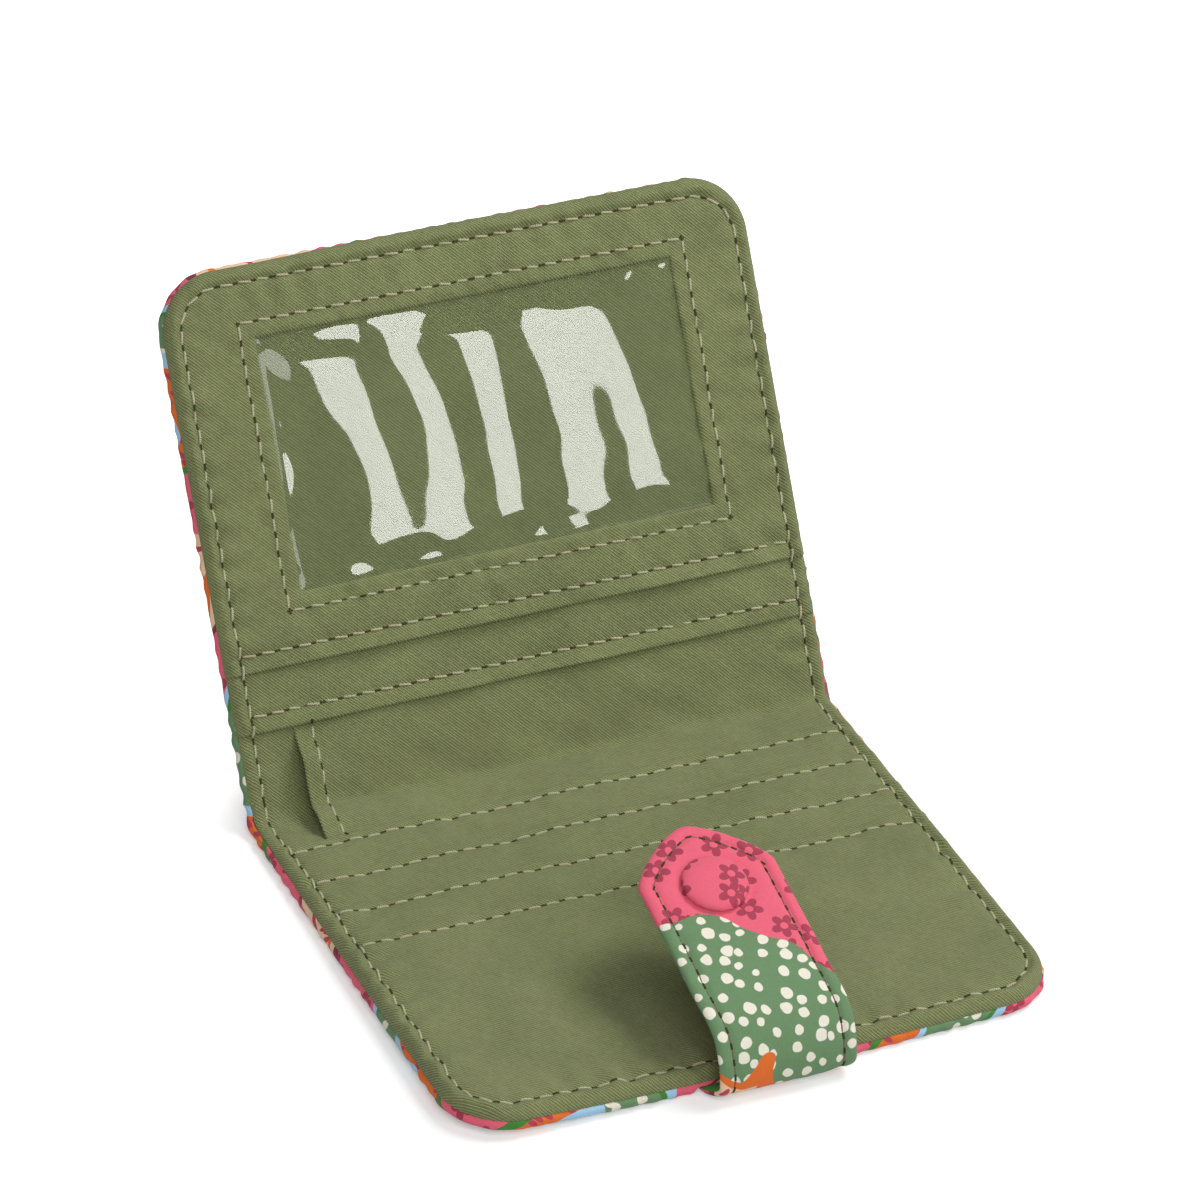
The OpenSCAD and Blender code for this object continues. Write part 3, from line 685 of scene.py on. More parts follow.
def twill_material():
    """Fine twill: slanting ribs over the threads, faded and shaded in soft patches."""
    material, tree = new_material("olive_twill")
    where = cloth_mm(tree)
    parts = sides_of(tree, where)

    def waves(across, pitch):
        return math_node(tree, "SINE", math_node(tree, "MULTIPLY", across, math.pi * 2 / pitch))

    ribs = waves(math_node(tree, "ADD", parts[0], parts[1]), RIB_PITCH)
    crossed = math_node(tree, "MULTIPLY", waves(parts[0], TWILL_PITCH), waves(parts[1], TWILL_PITCH))
    grain = math_node(tree, "MULTIPLY_ADD", thread_grain(tree, where, TWILL_PITCH), GRAIN_WEIGHT, crossed)
    weave = math_node(tree, "MULTIPLY_ADD", ribs, RIB_WEIGHT, grain)
    patches = noise_node(tree, where, 0.055, 3.0, 0.55).outputs[0]
    soft_patches = math_node(tree, "MULTIPLY_ADD", patches, 0.35, 0.325)
    share = math_node(tree, "MULTIPLY_ADD", weave, WEAVE_SHARE, soft_patches)
    colour = mix_colour(tree, add_node(tree, "Clamp", Value=share).outputs[0], OLIVE_DARK, OLIVE)
    finish_cloth(tree, colour, weave, 0.74, 0.6, 0.0001, 0.30, 0.10, 0.45)
    return material


olive_twill = twill_material()
inner_layers = []


def inner_layer(name, side, start, level, above, own, nodes, left=None, step=LAYER_STEP,
                keep=None, thickness=LAYER_T):
    """Makes one inner layer of a half, from the run start to the far edge, and rides it on the half where
    it doesn't cross the fold.
    """
    far = LOWER_FAR if side < 0 else UPPER_FAR
    shape, extra = shape_layer(far, side, level, above, own)
    whole = left is None
    xs = lines(-HALF_W - extra if whole else left, HALF_W + extra, step,
               LAYER_STEPS if whole else MOUTH_STEPS, LAYER_STEPS)
    crossing = abs(start) == SPINE_MID
    ts = lines(start, far + extra, step, BEND_STEPS if crossing else MOUTH_STEPS, LAYER_STEPS)
    if keep is not None:
        xs, ts = with_lines(xs, (-WINDOW_HALF, WINDOW_HALF)), with_lines(ts, (WINDOW_NEAR, WINDOW_FAR))
    layer = grid_sheet(name, xs, ts, shape, side < 0, keep)
    thicken(layer, thickness)
    layer.data.materials.append(olive_twill)
    carry(layer, side, crossing)
    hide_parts(*nodes)
    inner_layers.append((side, start, level, own, -HALF_W if whole else left))


inner_layer("lower_lining_cloth", -1, -SPINE_MID, LINING_TOP, 5, lining_sag, ["lower_lining"],
            step=LINING_STEP)
inner_layer("upper_lining_cloth", 1, SPINE_MID, LINING_TOP, 3, lining_sag,
            ["spine_lining", "upper_lining"], step=LINING_STEP)
inner_layer("lower_bill_wall_cloth", -1, -SPINE_MID, WALL_TOP, 4, wall_stand, ["lower_bill_wall"],
            left=HEM_X)
inner_layer("upper_bill_wall_cloth", 1, SPINE_MID, WALL_TOP, 2, wall_stand,
            ["spine_bill_wall", "upper_bill_wall"], left=HEM_X)


# Card pockets
# Four pieces of the lining cloth lie on the lower half like steps, each with a folded mouth towards
# the crease. A row of stitches holds each mouth's fold, and the edge seam holds their sides.
SLOT_STEP, SLOT_ROW, POCKET_T = 10.4, 2.0, 0.3
SLOT_LIP, SLOT_GAPE, SLOT_CREASE, SLOT_SEED = 0.20, 0.16, 0.17, 31
FOLD_SINK, ROW_SINK, MOUTH_PILLOW = 0.26, 0.26, 0.24
slot_edges = [FIRST_SLOT + i * SLOT_STEP for i in range(4)]


def pocket_mouth(start, row, lip, gape, seed, crease):
    """The folded mouth of a pocket at that run, with a row of stitches behind it. The mouth stands
    off by the lip, and by the gape in the middle, and the row pulls creases into the cloth."""
    def own(x, s):
        v = np.abs(s) - start
        folded = -FOLD_SINK * (1 - np.clip(v / 0.4, 0, 1)) ** 2
        open_share = 1 - np.clip(np.abs(x) / 56, 0, 1) ** 2
        uneven = 1 + 0.6 * ripple(x, 0 * x, 34, seed)
        stand = (lip + gape * open_share * uneven) * np.exp(-((v / 2.3) ** 2))
        puckers = crease * ripple(x, 0.35 * v, 6.4, seed + 1) * hump(v, row + 0.4, 3.0) * smooth(v, 0, 1.2)
        pillow = MOUTH_PILLOW * hump(v, row + 3.4, 2.6) * smooth(np.abs(HALF_W - np.abs(x)), 3.5, 9)
        return folded + stand - ROW_SINK * hump(v, row, 0.55) + puckers + pillow
    return own


for i, edge in enumerate(slot_edges):
    mouth = pocket_mouth(edge, SLOT_ROW, SLOT_LIP, SLOT_GAPE, SLOT_SEED + 2 * i, SLOT_CREASE)
    inner_layer(f"card_pocket_cloth_{i + 1}", -1, edge, WALL_TOP + (i + 1) * POCKET_T, 3 - i, mouth,
                [f"card_pocket_{i + 1}"])


# Slip pocket and card window
# The upper half carries a slip pocket, and over it a panel with a window of clear vinyl under it.
# Their mouths face the crease, and a seam runs round the window's opening.
PANEL_EDGE, PANEL_T, PANEL_CLOTH_T, LIP_ROW = 27.4, 0.5, 0.4, 3.2
WINDOW_HALF, WINDOW_NEAR, WINDOW_FAR, WINDOW_ROW = 42.3, 40.4, 88.0, 3.1
VINYL_LAP, VINYL_T, VINYL_GAP, VINYL_BULGE, VINYL_WAVE = 4.4, 0.2, 0.03, 0.62, 0.30
VINYL_TINT, VINYL_SHADOW = (0.93, 0.94, 0.91, 1.0), (0.90, 0.92, 0.89, 1.0)
VINYL_ROUGH, VINYL_IOR = 0.03, 1.5


def with_lines(values, extra_lines):
    """Grid lines with crisp ones added at an opening's edges, and close ones beside them."""
    near = [e + side * k for e in extra_lines for side in (-1, 1) for k in (0.12, 0.3, 0.55, 0.9)]
    kept = [v for v in values if min(abs(v - e) for e in extra_lines) > 1.1]
    return np.unique(np.round(np.concatenate([kept, extra_lines, near]), 4))


def beyond_opening(x, s):
    """How far outside the window's opening a point is, below zero inside it."""
    return np.maximum(np.abs(x) - WINDOW_HALF, np.maximum(WINDOW_NEAR - s, s - WINDOW_FAR))


panel_mouth = pocket_mouth(PANEL_EDGE, LIP_ROW, 0.30, 0.55, 51, 0.36)
slip_mouth = pocket_mouth(SLIP_EDGE, LIP_ROW, 0.25, 0.50, 41, 0.30)


def panel_form(x, s):
    """The panel's mouth, and the folded and sewn edge of the opening."""
    v = np.clip(beyond_opening(x, s), 0, None)
    folded = -0.32 * (1 - np.clip(v / 0.5, 0, 1)) ** 2
    puckers = 0.24 * (0.6 + ripple(x + s, x - s, 6.2, 53)) * hump(v, WINDOW_ROW, 3.4)
    pillow = 0.14 * hump(v, 1.3, 0.9) * (1 + 0.5 * ripple(x, s, 8, 54))
    return panel_mouth(x, s) + folded + puckers + pillow - 0.20 * hump(v, WINDOW_ROW, 0.5)


inner_layer("slip_pocket_cloth", 1, SLIP_EDGE, WALL_TOP + POCKET_T, 1, slip_mouth, ["slip_pocket"])
inner_layer("window_panel_cloth", 1, PANEL_EDGE, WALL_TOP + POCKET_T + PANEL_T, 0, panel_form,
            ["id_panel"], keep=lambda x, s: beyond_opening(x, s) > 0,
            thickness=PANEL_CLOTH_T)


def vinyl_material():
    """Clear soft vinyl. Lamps shine through it as through a thin film, and it reflects sharply."""
    material, tree = new_material("clear_vinyl")
    glass = add_node(tree, "BsdfPrincipled", Roughness=VINYL_ROUGH, IOR=VINYL_IOR,
                     **{"Base Color": VINYL_TINT, "Transmission Weight": 1.0})
    film = add_node(tree, "BsdfTransparent", Color=VINYL_SHADOW)
    path = add_node(tree, "LightPath")
    soft_ray = math_node(tree, "MAXIMUM", path.outputs["Is Shadow Ray"], path.outputs["Is Diffuse Ray"])
    both = add_node(tree, "MixShader", i0=soft_ray, i1=glass.outputs[0], i2=film.outputs[0])
    finish_material(tree, both.outputs[0])
    return material


def shape_vinyl(x, t):
    """Loose in the opening, where it bulges in long waves, and held flat under the panel."""
    d = -beyond_opening(x, t)
    inner = smooth(d, -1.5, 7.5)
    waves = VINYL_WAVE * np.sin(2 * math.pi * (x + 0.12 * t + 2.6 * np.sin(t / 13)) / 31
                                + 0.5 * np.sin(x / 17))
    waves = waves + 0.035 * ripple(x, 0.25 * t, 15, 61) + 0.10 * ripple(x, t, 34, 62)
    under = relief(x, t, 20 + 0 * x, 0 * x) * (1 - 0.92 * inner) - 0.34 * (1 - smooth(d, -1.0, 0.8))
    h = WALL_TOP + POCKET_T + VINYL_GAP + VINYL_T + (VINYL_BULGE + waves) * inner + under
    return place(x, t, h), flat_place(x, t), flat_place(x, d)


vinyl_xs = np.linspace(-WINDOW_HALF - VINYL_LAP, WINDOW_HALF + VINYL_LAP, 170)
vinyl_ts = np.linspace(WINDOW_NEAR - VINYL_LAP, WINDOW_FAR + VINYL_LAP, 100)
vinyl = grid_sheet("window_vinyl", vinyl_xs, vinyl_ts, shape_vinyl, False)
thicken(vinyl, VINYL_T)
vinyl.data.materials.append(vinyl_material())
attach(vinyl, "upper")
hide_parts("id_window")


# Seams
# Khaki thread is sewn through all layers along the edge, the mouths and the window. Each stitch is a
# slanting dash of twisted thread that dips into a needle hole at either end; painted shade darkens the
# grooves between the plies, and a dark disc of painted shade lies on each needle hole.
STITCH_L, THREAD_W, THREAD_LIFT, STITCH_DIP, STITCH_SLANT = 2.75, 0.60, 0.1, 0.34, 7.0
# Sizes of the dark discs of painted shade at the needle holes, and how far they sink.
HOLE_L, HOLE_W, HOLE_SINK = 1.25, 0.62, 0.02
# How far the stitches of a row differ, in degrees and millimetres, as sewing does by itself.
SLANT_SPREAD, LIFT_SPREAD = 1.6, 0.012
KHAKI = (0.66, 0.63, 0.40, 1.0)
# Painted shade in the grooves between the thread's plies.
KHAKI_GROOVE_SHADE = (0.27, 0.25, 0.12, 1.0)
# Painted shade inside the needle holes.
HOLE_SHADE_DARK = (0.020, 0.022, 0.009, 1.0)


def inside(x, t, far):
    """The distance inside the outline, and the run along it, of a point of the flat pattern."""
    side, end = np.abs(x) - HALF_W + CORNER_R, t - far + CORNER_R
    corner = (side > 0) & (end > 0)
    rho = np.where(corner, np.hypot(side, end), np.maximum(side, end))
    angle = np.arctan2(np.maximum(end, 1e-9), np.maximum(side, 1e-9))
    return CORNER_R - rho, outline_run(x, t, far, side, end, angle)


def thread_material(name, light, dark):
    """Two plies twisted together, seen as slanting stripes along each stitch, darker in the grooves between
    the plies as painted shade.
    """
    material, tree = new_material(name)
    parts = sides_of(tree, add_node(tree, "UVMap", uv_map="cloth").outputs[0])
    twist = math_node(tree, "MULTIPLY_ADD", parts[1], 5.0, parts[0])
    ply = math_node(tree, "SINE", math_node(tree, "MULTIPLY", twist, 4 * math.pi))
    colour = mix_colour(tree, math_node(tree, "MULTIPLY_ADD", ply, 0.36, 0.62), dark, light)
    finish_cloth(tree, colour, ply, 0.62, 0.6, 0.0001, 0.5, 0.15)
    return material


# Painted shade: the dark inside of a needle hole, on a small disc laid over the cloth.
def hole_shade_material():
    material, tree = new_material("needle_hole_shade")
    grain = noise_node(tree, object_place(tree), 4000.0, dimensions="3D").outputs[0]
    colour = mix_colour(tree, grain, HOLE_SHADE_DARK, OLIVE_DARK)
    dark = add_node(tree, "BsdfPrincipled", Roughness=0.95,
                    **{"Base Color": colour, "Specular IOR Level": 0.1})
    finish_material(tree, dark.outputs[0])
    return material


def face_outwards():
    """Turns all faces of the object at hand outwards and shades it smoothly."""
    bpy.ops.object.mode_set(mode="EDIT")
    bpy.ops.mesh.select_all(action="SELECT")
    bpy.ops.mesh.normals_make_consistent(inside=False)
    bpy.ops.object.mode_set(mode="OBJECT")
    bpy.ops.object.shade_smooth()


def one_stitch(name, length, width, dip, material):
    """A thread along x whose ends dip under the cloth."""
    bpy.ops.object.select_all(action="DESELECT")
    bpy.ops.mesh.primitive_uv_sphere_add(segments=6, ring_count=7, radius=0.5)
    stitch = bpy.context.object
    stitch.name = name
    stitch.data.uv_layers[0].name = "cloth"
    for point in stitch.data.vertices:
        along, across, up = point.co.z, point.co.x, point.co.y
        girth = 1 / max(math.sqrt(max(1 - 4 * along * along, 0)), 0.35)
        sunk = dip * (2 * abs(along)) ** 3
        point.co = (along * length, across * girth * width * 0.8, up * girth * width * 0.8 - sunk)
        point.co = point.co * MM
    stitch.data.flip_normals()
    face_outwards()
    stitch.data.materials.append(material)
    return stitch


def set_in(part, middle, turned):
    """A copy of a stitch's mesh, turned and moved to its place in the row."""
    mesh = part.data.copy()
    flat = np.empty(len(mesh.vertices) * 3)
    mesh.vertices.foreach_get("co", flat)
    flat = flat.reshape(-1, 3) @ turned + np.array(middle)
    mesh.vertices.foreach_set("co", flat.astype(np.float32).ravel())
    item = bpy.data.objects.new("stitch", mesh)
    bpy.context.scene.collection.objects.link(item)
    return item


def sew(name, face, rows, thread, seed, lift=THREAD_LIFT, pitch=STITCH_PITCH, length=STITCH_L,
        width=THREAD_W, slant=STITCH_SLANT):
    """Sews rows of stitches on a face, which turns pattern points into space. A row is a list of
    pattern points, or a face of its own and such a list. All stitches are copies of one, joined with
    copies of a dark disc of painted shade at each needle hole."""
    draw = np.random.default_rng(seed)
    model = one_stitch("stitch_model", length, width, STITCH_DIP, thread)
    # Copies of this dark disc at each needle hole are painted shade.
    pit = one_stitch("hole_model", HOLE_L, HOLE_W, 0.0, needle_hole_shade)
    copies = []
    for row in rows:
        surface, row = row if callable(row[0]) else (face, row)
        row = np.asarray(row, float)
        run = np.concatenate([[0], np.cumsum(np.hypot(*np.diff(row, axis=0).T))])
        count = max(1, int(round(run[-1] / pitch)))
        step = run[-1] / count

        def at(position, more=0.0):
            position = np.clip(position, 0, run[-1])
            return surface(*(np.interp(position, run, row[:, k]) for k in (0, 1)), more)

        for part, centres in ((model, (np.arange(count) + 0.5) * step),
                              (pit, np.arange(count + 1) * step)):
            before, after, middle, over = at(centres - 1), at(centres + 1), at(centres), at(centres, 0.5)
            for k in range(len(centres)):
                tangent = Vector(after[k] - before[k]).normalized()
                up = Vector(over[k] - middle[k]).normalized()
                raised = -HOLE_SINK
                if part is model:
                    turn = math.radians(-slant + draw.normal(0, SLANT_SPREAD))
                    tangent = Quaternion(up, turn) @ tangent
                    raised = lift + draw.normal(0, LIFT_SPREAD)
                side = up.cross(tangent).normalized()
                copies.append(set_in(part, Vector(middle[k]) + up * (raised * MM),
                                     np.array([tangent, side, up])))
    take_up(copies[0])
    for item in copies:
        item.select_set(True)
    bpy.ops.object.join()
    piece = bpy.context.object
    piece.name = piece.data.name = name
    for spare in (model, pit):
        bpy.data.objects.remove(spare)
    return piece


def inner_face(side):
    """Turns a point of the flat pattern of one half into a point of its uppermost inner layer."""
    far = LOWER_FAR if side < 0 else UPPER_FAR

    def surface(x, s, more=0.0):
        t = side * s
        h = np.full(np.shape(x), LINING_TOP)
        for layer_side, start, level, own, left in inner_layers:
            if layer_side == side:
                covered = (t >= start + 0.05) & (x >= left + 0.05)
                h = np.where(covered, level + own(x, s), h)
        return place(x, s, h + relief(x, s, *inside(x, t, far)) + more)

    return surface


def outer_face(side):
    """Turns a point of the flat pattern of one half into a point of its printed cover."""
    def surface(x, s, more=0.0):
        d, q = inside(x, side * s, LOWER_FAR if side < 0 else UPPER_FAR)
        sunk = edge_groove(d, q) + COVER_PUCKER * ripple(q, 0 * q, 3.2, 5) * (side > 0)
        return place(x, s, sunk * smooth(np.abs(s), 2, 9) - more)

    return surface


def edge_row(far, side, start):
    """The edge seam of one half, up its left side, round the far edge and back."""
    radius = CORNER_R - SEAM_INSET
    turns = [math.radians(a) for a in range(0, 91, 6)]
    core_x, core_t = HALF_W - CORNER_R, far - CORNER_R
    half_row = [(-core_x - radius, side * t) for t in np.arange(start, core_t, 1.5)]
    half_row += [(-core_x - radius * math.cos(a), side * (core_t + radius * math.sin(a))) for a in turns]
    return half_row + [(-x, s) for x, s in reversed(half_row)]


def mouth_rows(side, runs):
    """Straight rows from one side's seam to the other at those runs."""
    return [[(-HALF_W + SEAM_INSET, side * run), (HALF_W - SEAM_INSET, side * run)] for run in runs]


khaki_thread = thread_material("khaki_thread", KHAKI, KHAKI_GROOVE_SHADE)
needle_hole_shade = hole_shade_material()
hem_x = HEM_X + HEM_W
lower_row, upper_row = edge_row(LOWER_FAR, -1, -3.2), edge_row(UPPER_FAR, 1, 3.8)
lower_hem = [(hem_x, 3.2), (hem_x, -FIRST_SLOT - 0.2)]
upper_hem = [(hem_x, 3.8), (hem_x, SLIP_EDGE + 0.2)]
# Underneath, the edge seam stops on either side of the tab's root.
root_left, root_right = TAB_X - SEAT_HALF, TAB_X + SEAT_HALF
before_root = [p for p in lower_row if p[0] < root_left - 1]
before_root.append((root_left - 1.5, SEAM_INSET - LOWER_FAR))
after_root = [(root_right + 1.5, SEAM_INSET - LOWER_FAR)]
after_root += [p for p in lower_row if p[0] > root_right + 1]
window_x, near, far = WINDOW_HALF + WINDOW_ROW, WINDOW_NEAR - WINDOW_ROW, WINDOW_FAR + WINDOW_ROW
corners = [(-window_x, near), (-window_x, far), (window_x, far), (window_x, near), (-window_x, near)]
for name, side, crossing, seed, lift, rows, nodes in (
    ("lower_edge_seam", -1, True, 71, THREAD_LIFT,
     [lower_row, lower_hem, (outer_face(-1), before_root), (outer_face(-1), after_root)],
     ["lower_edge_stitching"]),
    ("card_pocket_seams", -1, False, 72, THREAD_LIFT,
     mouth_rows(-1, [edge + SLOT_ROW for edge in slot_edges]), ["card_pocket_stitching"]),
    ("upper_edge_seam", 1, True, 73, THREAD_LIFT,
     [upper_row, upper_hem, (outer_face(1), upper_row)], ["spine_stitching", "upper_edge_stitching"]),
    ("upper_pocket_seams", 1, False, 74, 0.17,
     mouth_rows(1, [SLIP_EDGE + LIP_ROW, PANEL_EDGE + LIP_ROW]), ["upper_pocket_stitching"]),
    ("window_seam", 1, False, 75, THREAD_LIFT,
     [corners[i:i + 2] for i in range(4)], ["window_stitching"]),
):
    seams = sew(name, inner_face(side), rows, khaki_thread, seed, lift)
    carry(seams, side, crossing)
    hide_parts(*nodes)


# Snap tab
# A strap of printed cotton over stiff interfacing, backed with another cut of the print, turned
# and sewn round its edge. Its root is sewn under the lower half, and it curls up over the front.
TAB_HALF, TAB_L, TAB_TAPER, TAB_TIP = 13.5, 41.8, 11.2, 0.6
TAB_SEAM, TAB_ROUND, TAB_DEEP, TAB_THICK, ROOT_THICK = 2.7, 1.4, 0.87, 1.75, 1.12
TAB_REST = math.radians(15)
SNAP_RUN, CAP_R, CAP_H = 27.5, 6.2, 1.8
ROOT_RUN, ROOT_RISE, PLANE_START, TIP_FORM, TAB_BOW = 76.5, 0.2, 12.0, 1.30, 1.6
# How far the two cloths turn round the tab's edge, in radians, and how deep its middle lies.
FACE_TURN, BACK_TURN, TAB_CORE = 1.85, 1.38, -0.6
TAB_STEP, TAB_INNER, TAB_INNER_STEP, TAB_INNER_T = 0.6, 1.2, 0.9, 0.25
TAB_PITCH, TAB_STITCH_L, TAB_THREAD_W, TAB_LIFT, TAB_SLANT = 3.0, 2.7, 0.34, 0.02, 4.0
# The tab thread's colour, and its painted shade in the grooves between the plies.
TAB_THREAD, TAB_THREAD_GROOVE_SHADE = (0.27, 0.16, 0.10, 1.0), (0.10, 0.055, 0.035, 1.0)
TAB_STEPS = (0.18, 0.2, 0.22, 0.24, 0.26, 0.28, 0.3, 0.3, 0.3, 0.3, 0.3, 0.3, 0.34, 0.4, 0.5)
TAB_STOPS = (
    (0.00, PINK, FLOWERS), (0.24, MAROON, PLAIN), (0.265, PEACH, FLECKS), (0.34, ORANGE, PLAIN),
    (0.36, SAGE, DOTS), (0.70, PINK, FLOWERS),
)
BACK_STOPS = ((0.00, LEAF_GREEN, PLAIN), (0.40, ORANGE, FLECKS), (0.52, LEAF_GREEN, FLOWERS),
              (0.80, SAGE, DOTS))
RISER_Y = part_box("tab_riser_back")[1].y / MM
PLANE = np.array([RISER_Y, 15.75]) + 1.2 * np.array([-math.sin(TAB_REST), math.cos(TAB_REST)])
PLANE_WAY = np.array([math.cos(TAB_REST), math.sin(TAB_REST)])


def curve(a, b, c, d, count=60):
    """Points of a curve that leaves a towards b and comes to d from c."""
    u = np.linspace(0, 1, count)[:, None]
    return (1 - u) ** 3 * a + 3 * u * (1 - u) ** 2 * b + 3 * u**2 * (1 - u) * c + u**3 * d


# The tab's line from its root, round the front edge and up to its tip, as y and z.
front = np.array([RISER_Y - 5.0, 3.7])
root_end = np.array([RISER_Y + 0.2, ROOT_RISE])
join = PLANE + PLANE_START * PLANE_WAY
tab_line = np.concatenate([
    [[FOLD_Y - ROOT_RUN, ROOT_RISE]],
    curve(root_end, root_end - (2.3, 0), front - (0, 2.0), front),
    curve(front, front + (0.1, 6.4), join - 10.0 * PLANE_WAY, join)[1:],
    [join + (TAB_L - PLANE_START + 4) * PLANE_WAY],
])
tab_run = np.concatenate([[0], np.cumsum(np.hypot(*np.diff(tab_line, axis=0).T))])
PLANE_RUN, FRONT_RUN = tab_run[-2] - PLANE_START, tab_run[60]
TIP_RUN, SPLIT_RUN = PLANE_RUN + TAB_L, float(np.interp(8.6, tab_line[:100, 1], tab_run[:100]))
middle_run = (tab_run[1:] + tab_run[:-1]) / 2
tab_heading = np.unwrap(np.arctan2(*np.diff(tab_line, axis=0).T[::-1]))


def tab_place(x, run, k):
    """The point of the tab at x across it and run along it, k over its outer face."""
    turn = np.interp(run, middle_run, tab_heading)
    y = np.interp(run, tab_run, tab_line[:, 0]) - np.sin(turn) * k
    z = np.interp(run, tab_run, tab_line[:, 1]) + np.cos(turn) * k
    bow = TAB_BOW * smooth(run, 19, 26) * (1 - smooth(run, PLANE_RUN - 4, PLANE_RUN + 9))
    return np.stack([x + TAB_X + bow + 0 * y, y, z], -1) * MM


def tip_place(x, run):
    """How far out a point is in the tapered tip, as shares of its width and its length."""
    return (np.abs(x) - TAB_TIP) / (TAB_HALF - TAB_TIP), (run - TIP_RUN + TAB_TAPER) / TAB_TAPER


def tab_border(x, run):
    """Turns grid points into rings round the tapered tip, as border does round a half's corners."""
    wide = TAB_HALF - TAB_TIP
    a, b = tip_place(x, run)
    corner = (a > 0) & (b > 0)
    pa, pb = np.maximum(a, 1e-9), np.maximum(b, 1e-9)
    angle = np.where(pa >= pb, pb / pa, 2 - pa / pb) * math.pi / 4
    rho = np.maximum(a, b)
    cos, sin = np.maximum(np.cos(angle), 1e-9), np.maximum(np.sin(angle), 1e-9)
    out_x, out_s = wide * cos ** (2 / TIP_FORM), TAB_TAPER * sin ** (2 / TIP_FORM)
    way_x, way_s = cos ** (2 - 2 / TIP_FORM) / wide, sin ** (2 - 2 / TIP_FORM) / TAB_TAPER
    length = np.hypot(way_x, way_s)
    way_x, way_s = way_x / length, way_s / length
    reach = out_x * way_x + out_s * way_s
    d = np.where(corner, (1 - rho) * reach, np.minimum(TAB_HALF - np.abs(x), TIP_RUN - run))
    side = a * wide >= b * TAB_TAPER
    way_x = np.where(corner, way_x, np.where(side, 1.0, 0.0)) * np.sign(x)
    way_s = np.where(corner, way_s, np.where(side, 0.0, 1.0))
    new_x = np.where(corner, (TAB_TIP + rho * out_x) * np.sign(x), x)
    new_run = np.where(corner, TIP_RUN - TAB_TAPER + rho * out_s, run)
    return new_x, new_run, d, way_x, way_s


def tab_relief(x, run, d):
    """The groove of the tab's seam, its crown and puckers, and the ring that the cap presses in."""
    groove = -0.42 * hump(d, TAB_SEAM, 0.55)
    crown = 0.16 * smooth(d, 3, 9) + 0.10 * np.tanh(ripple(x, run, 21, 81)) * smooth(d, 3, 7)
    pucker = 0.08 * ripple(x, run, 3.6, 82) * hump(d, TAB_SEAM, 2.0)
    pressed = -0.38 * hump(np.hypot(x, run - PLANE_RUN - SNAP_RUN), CAP_R + 0.5, 1.1)
    return (groove + crown + pucker) * smooth(run, 18, 26) + pressed


def tab_thickness(run):
    return ROOT_THICK + (TAB_THICK - ROOT_THICK) * smooth(run, 17, 23)


def shape_tab(outer, tuck):
    """The outer or the inner cloth of the tab, rolled over at its edge. tuck holds it in."""
    quarter = math.pi / 2 * math.sqrt((TAB_ROUND**2 + TAB_DEEP**2) / 2)
    stop = FACE_TURN if outer else BACK_TURN
    length = quarter * stop / (math.pi / 2)

    def shape(x, run):
        rx, rs, d, way_x, way_s = tab_border(x, run)
        e = TAB_ROUND - d
        turn = np.clip(e / quarter * math.pi / 2, 0, stop)
        real = np.where(e > 0, TAB_ROUND * (1 - np.sin(turn)), d) + tuck
        thick = tab_thickness(rs)
        deep = thick / TAB_THICK * TAB_DEEP * (1 - np.cos(turn))
        bumps = tab_relief(rx, rs, real) * np.clip(np.cos(turn), 0, 1)
        k = -deep + bumps if outer else deep - thick - 0.6 * bumps
        points = tab_place(rx + way_x * (d - real), rs + way_s * (d - real), k)
        return points, flat_place(rx, rs), flat_place(rs, real)

    return shape, length - TAB_ROUND


def shape_stiffener(x, run):
    rx, rs, d, way_x, way_s = tab_border(x, run)
    return tab_place(rx, rs, -0.55 * tab_thickness(rs) + 0 * d), flat_place(rx, rs), flat_place(rs, d)


def swing(piece, level):
    """Bakes a tab piece's place into its mesh; the runs of its front bend or upper bend are worked out but
    not used.
    """
    first, second, start, end = (
        ("lower", "tab_riser", FRONT_RUN - 4.6, FRONT_RUN + 3.4) if level == "low"
        else ("tab_riser", "tab_end", SPLIT_RUN + 0.6, PLANE_RUN + 9))
    tuple(tab_place(-TAB_X, start, TAB_CORE))
    tuple(tab_place(-TAB_X, end, TAB_CORE))
    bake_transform(piece)


def tab_area(xs, runs, level, share):
    """The area of one cloth of the tab, less that share of the corners beside the tip."""
    cut = 1.25 * (TAB_HALF - TAB_TIP) * TAB_TAPER * share
    return flat_area(xs, runs, 0, 0.0 if level == "low" else cut)


tab_print = print_material("printed_cotton_tab", 24, (2, -7), TAB_STOPS, 72, 17)
back_print = print_material("printed_cotton_back", 60, (20, 3), BACK_STOPS, 60, 19)
for kind, outer, tuck, cloth_print, thickness, low_nodes, high_nodes in (
    ("face", True, 0.0, tab_print, 0.30, ("tab_root", "tab_root_bend", "tab_riser_face"),
     ("tab_top_bend", "tab_end_face")),
    ("back", False, 0.10, back_print, 0.28, ("tab_riser_back",), ("tab_end_back",)),
):
    shape, extra = shape_tab(outer, tuck)
    xs = lines(-TAB_HALF - extra, TAB_HALF + extra, TAB_STEP, TAB_STEPS, TAB_STEPS)
    for level, start, stop, fine, nodes, under in (
        ("low", 0.0, SPLIT_RUN, (), low_nodes, ["lower_printed_cover"]),
        ("high", SPLIT_RUN, TIP_RUN + extra, TAB_STEPS, high_nodes, []),
    ):
        runs = lines(start, stop, 0.5, (), fine)
        cloth = grid_sheet(f"tab_{kind}_{level}", xs, runs, shape, not outer)
        thicken(cloth, thickness)
        cloth.data.materials.append(cloth_print)
        swing(cloth, level)
        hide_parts(*nodes)
        tab_area(xs, runs, level, 0.9)
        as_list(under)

inner_xs = np.linspace(-TAB_HALF + TAB_INNER, TAB_HALF - TAB_INNER, 30)
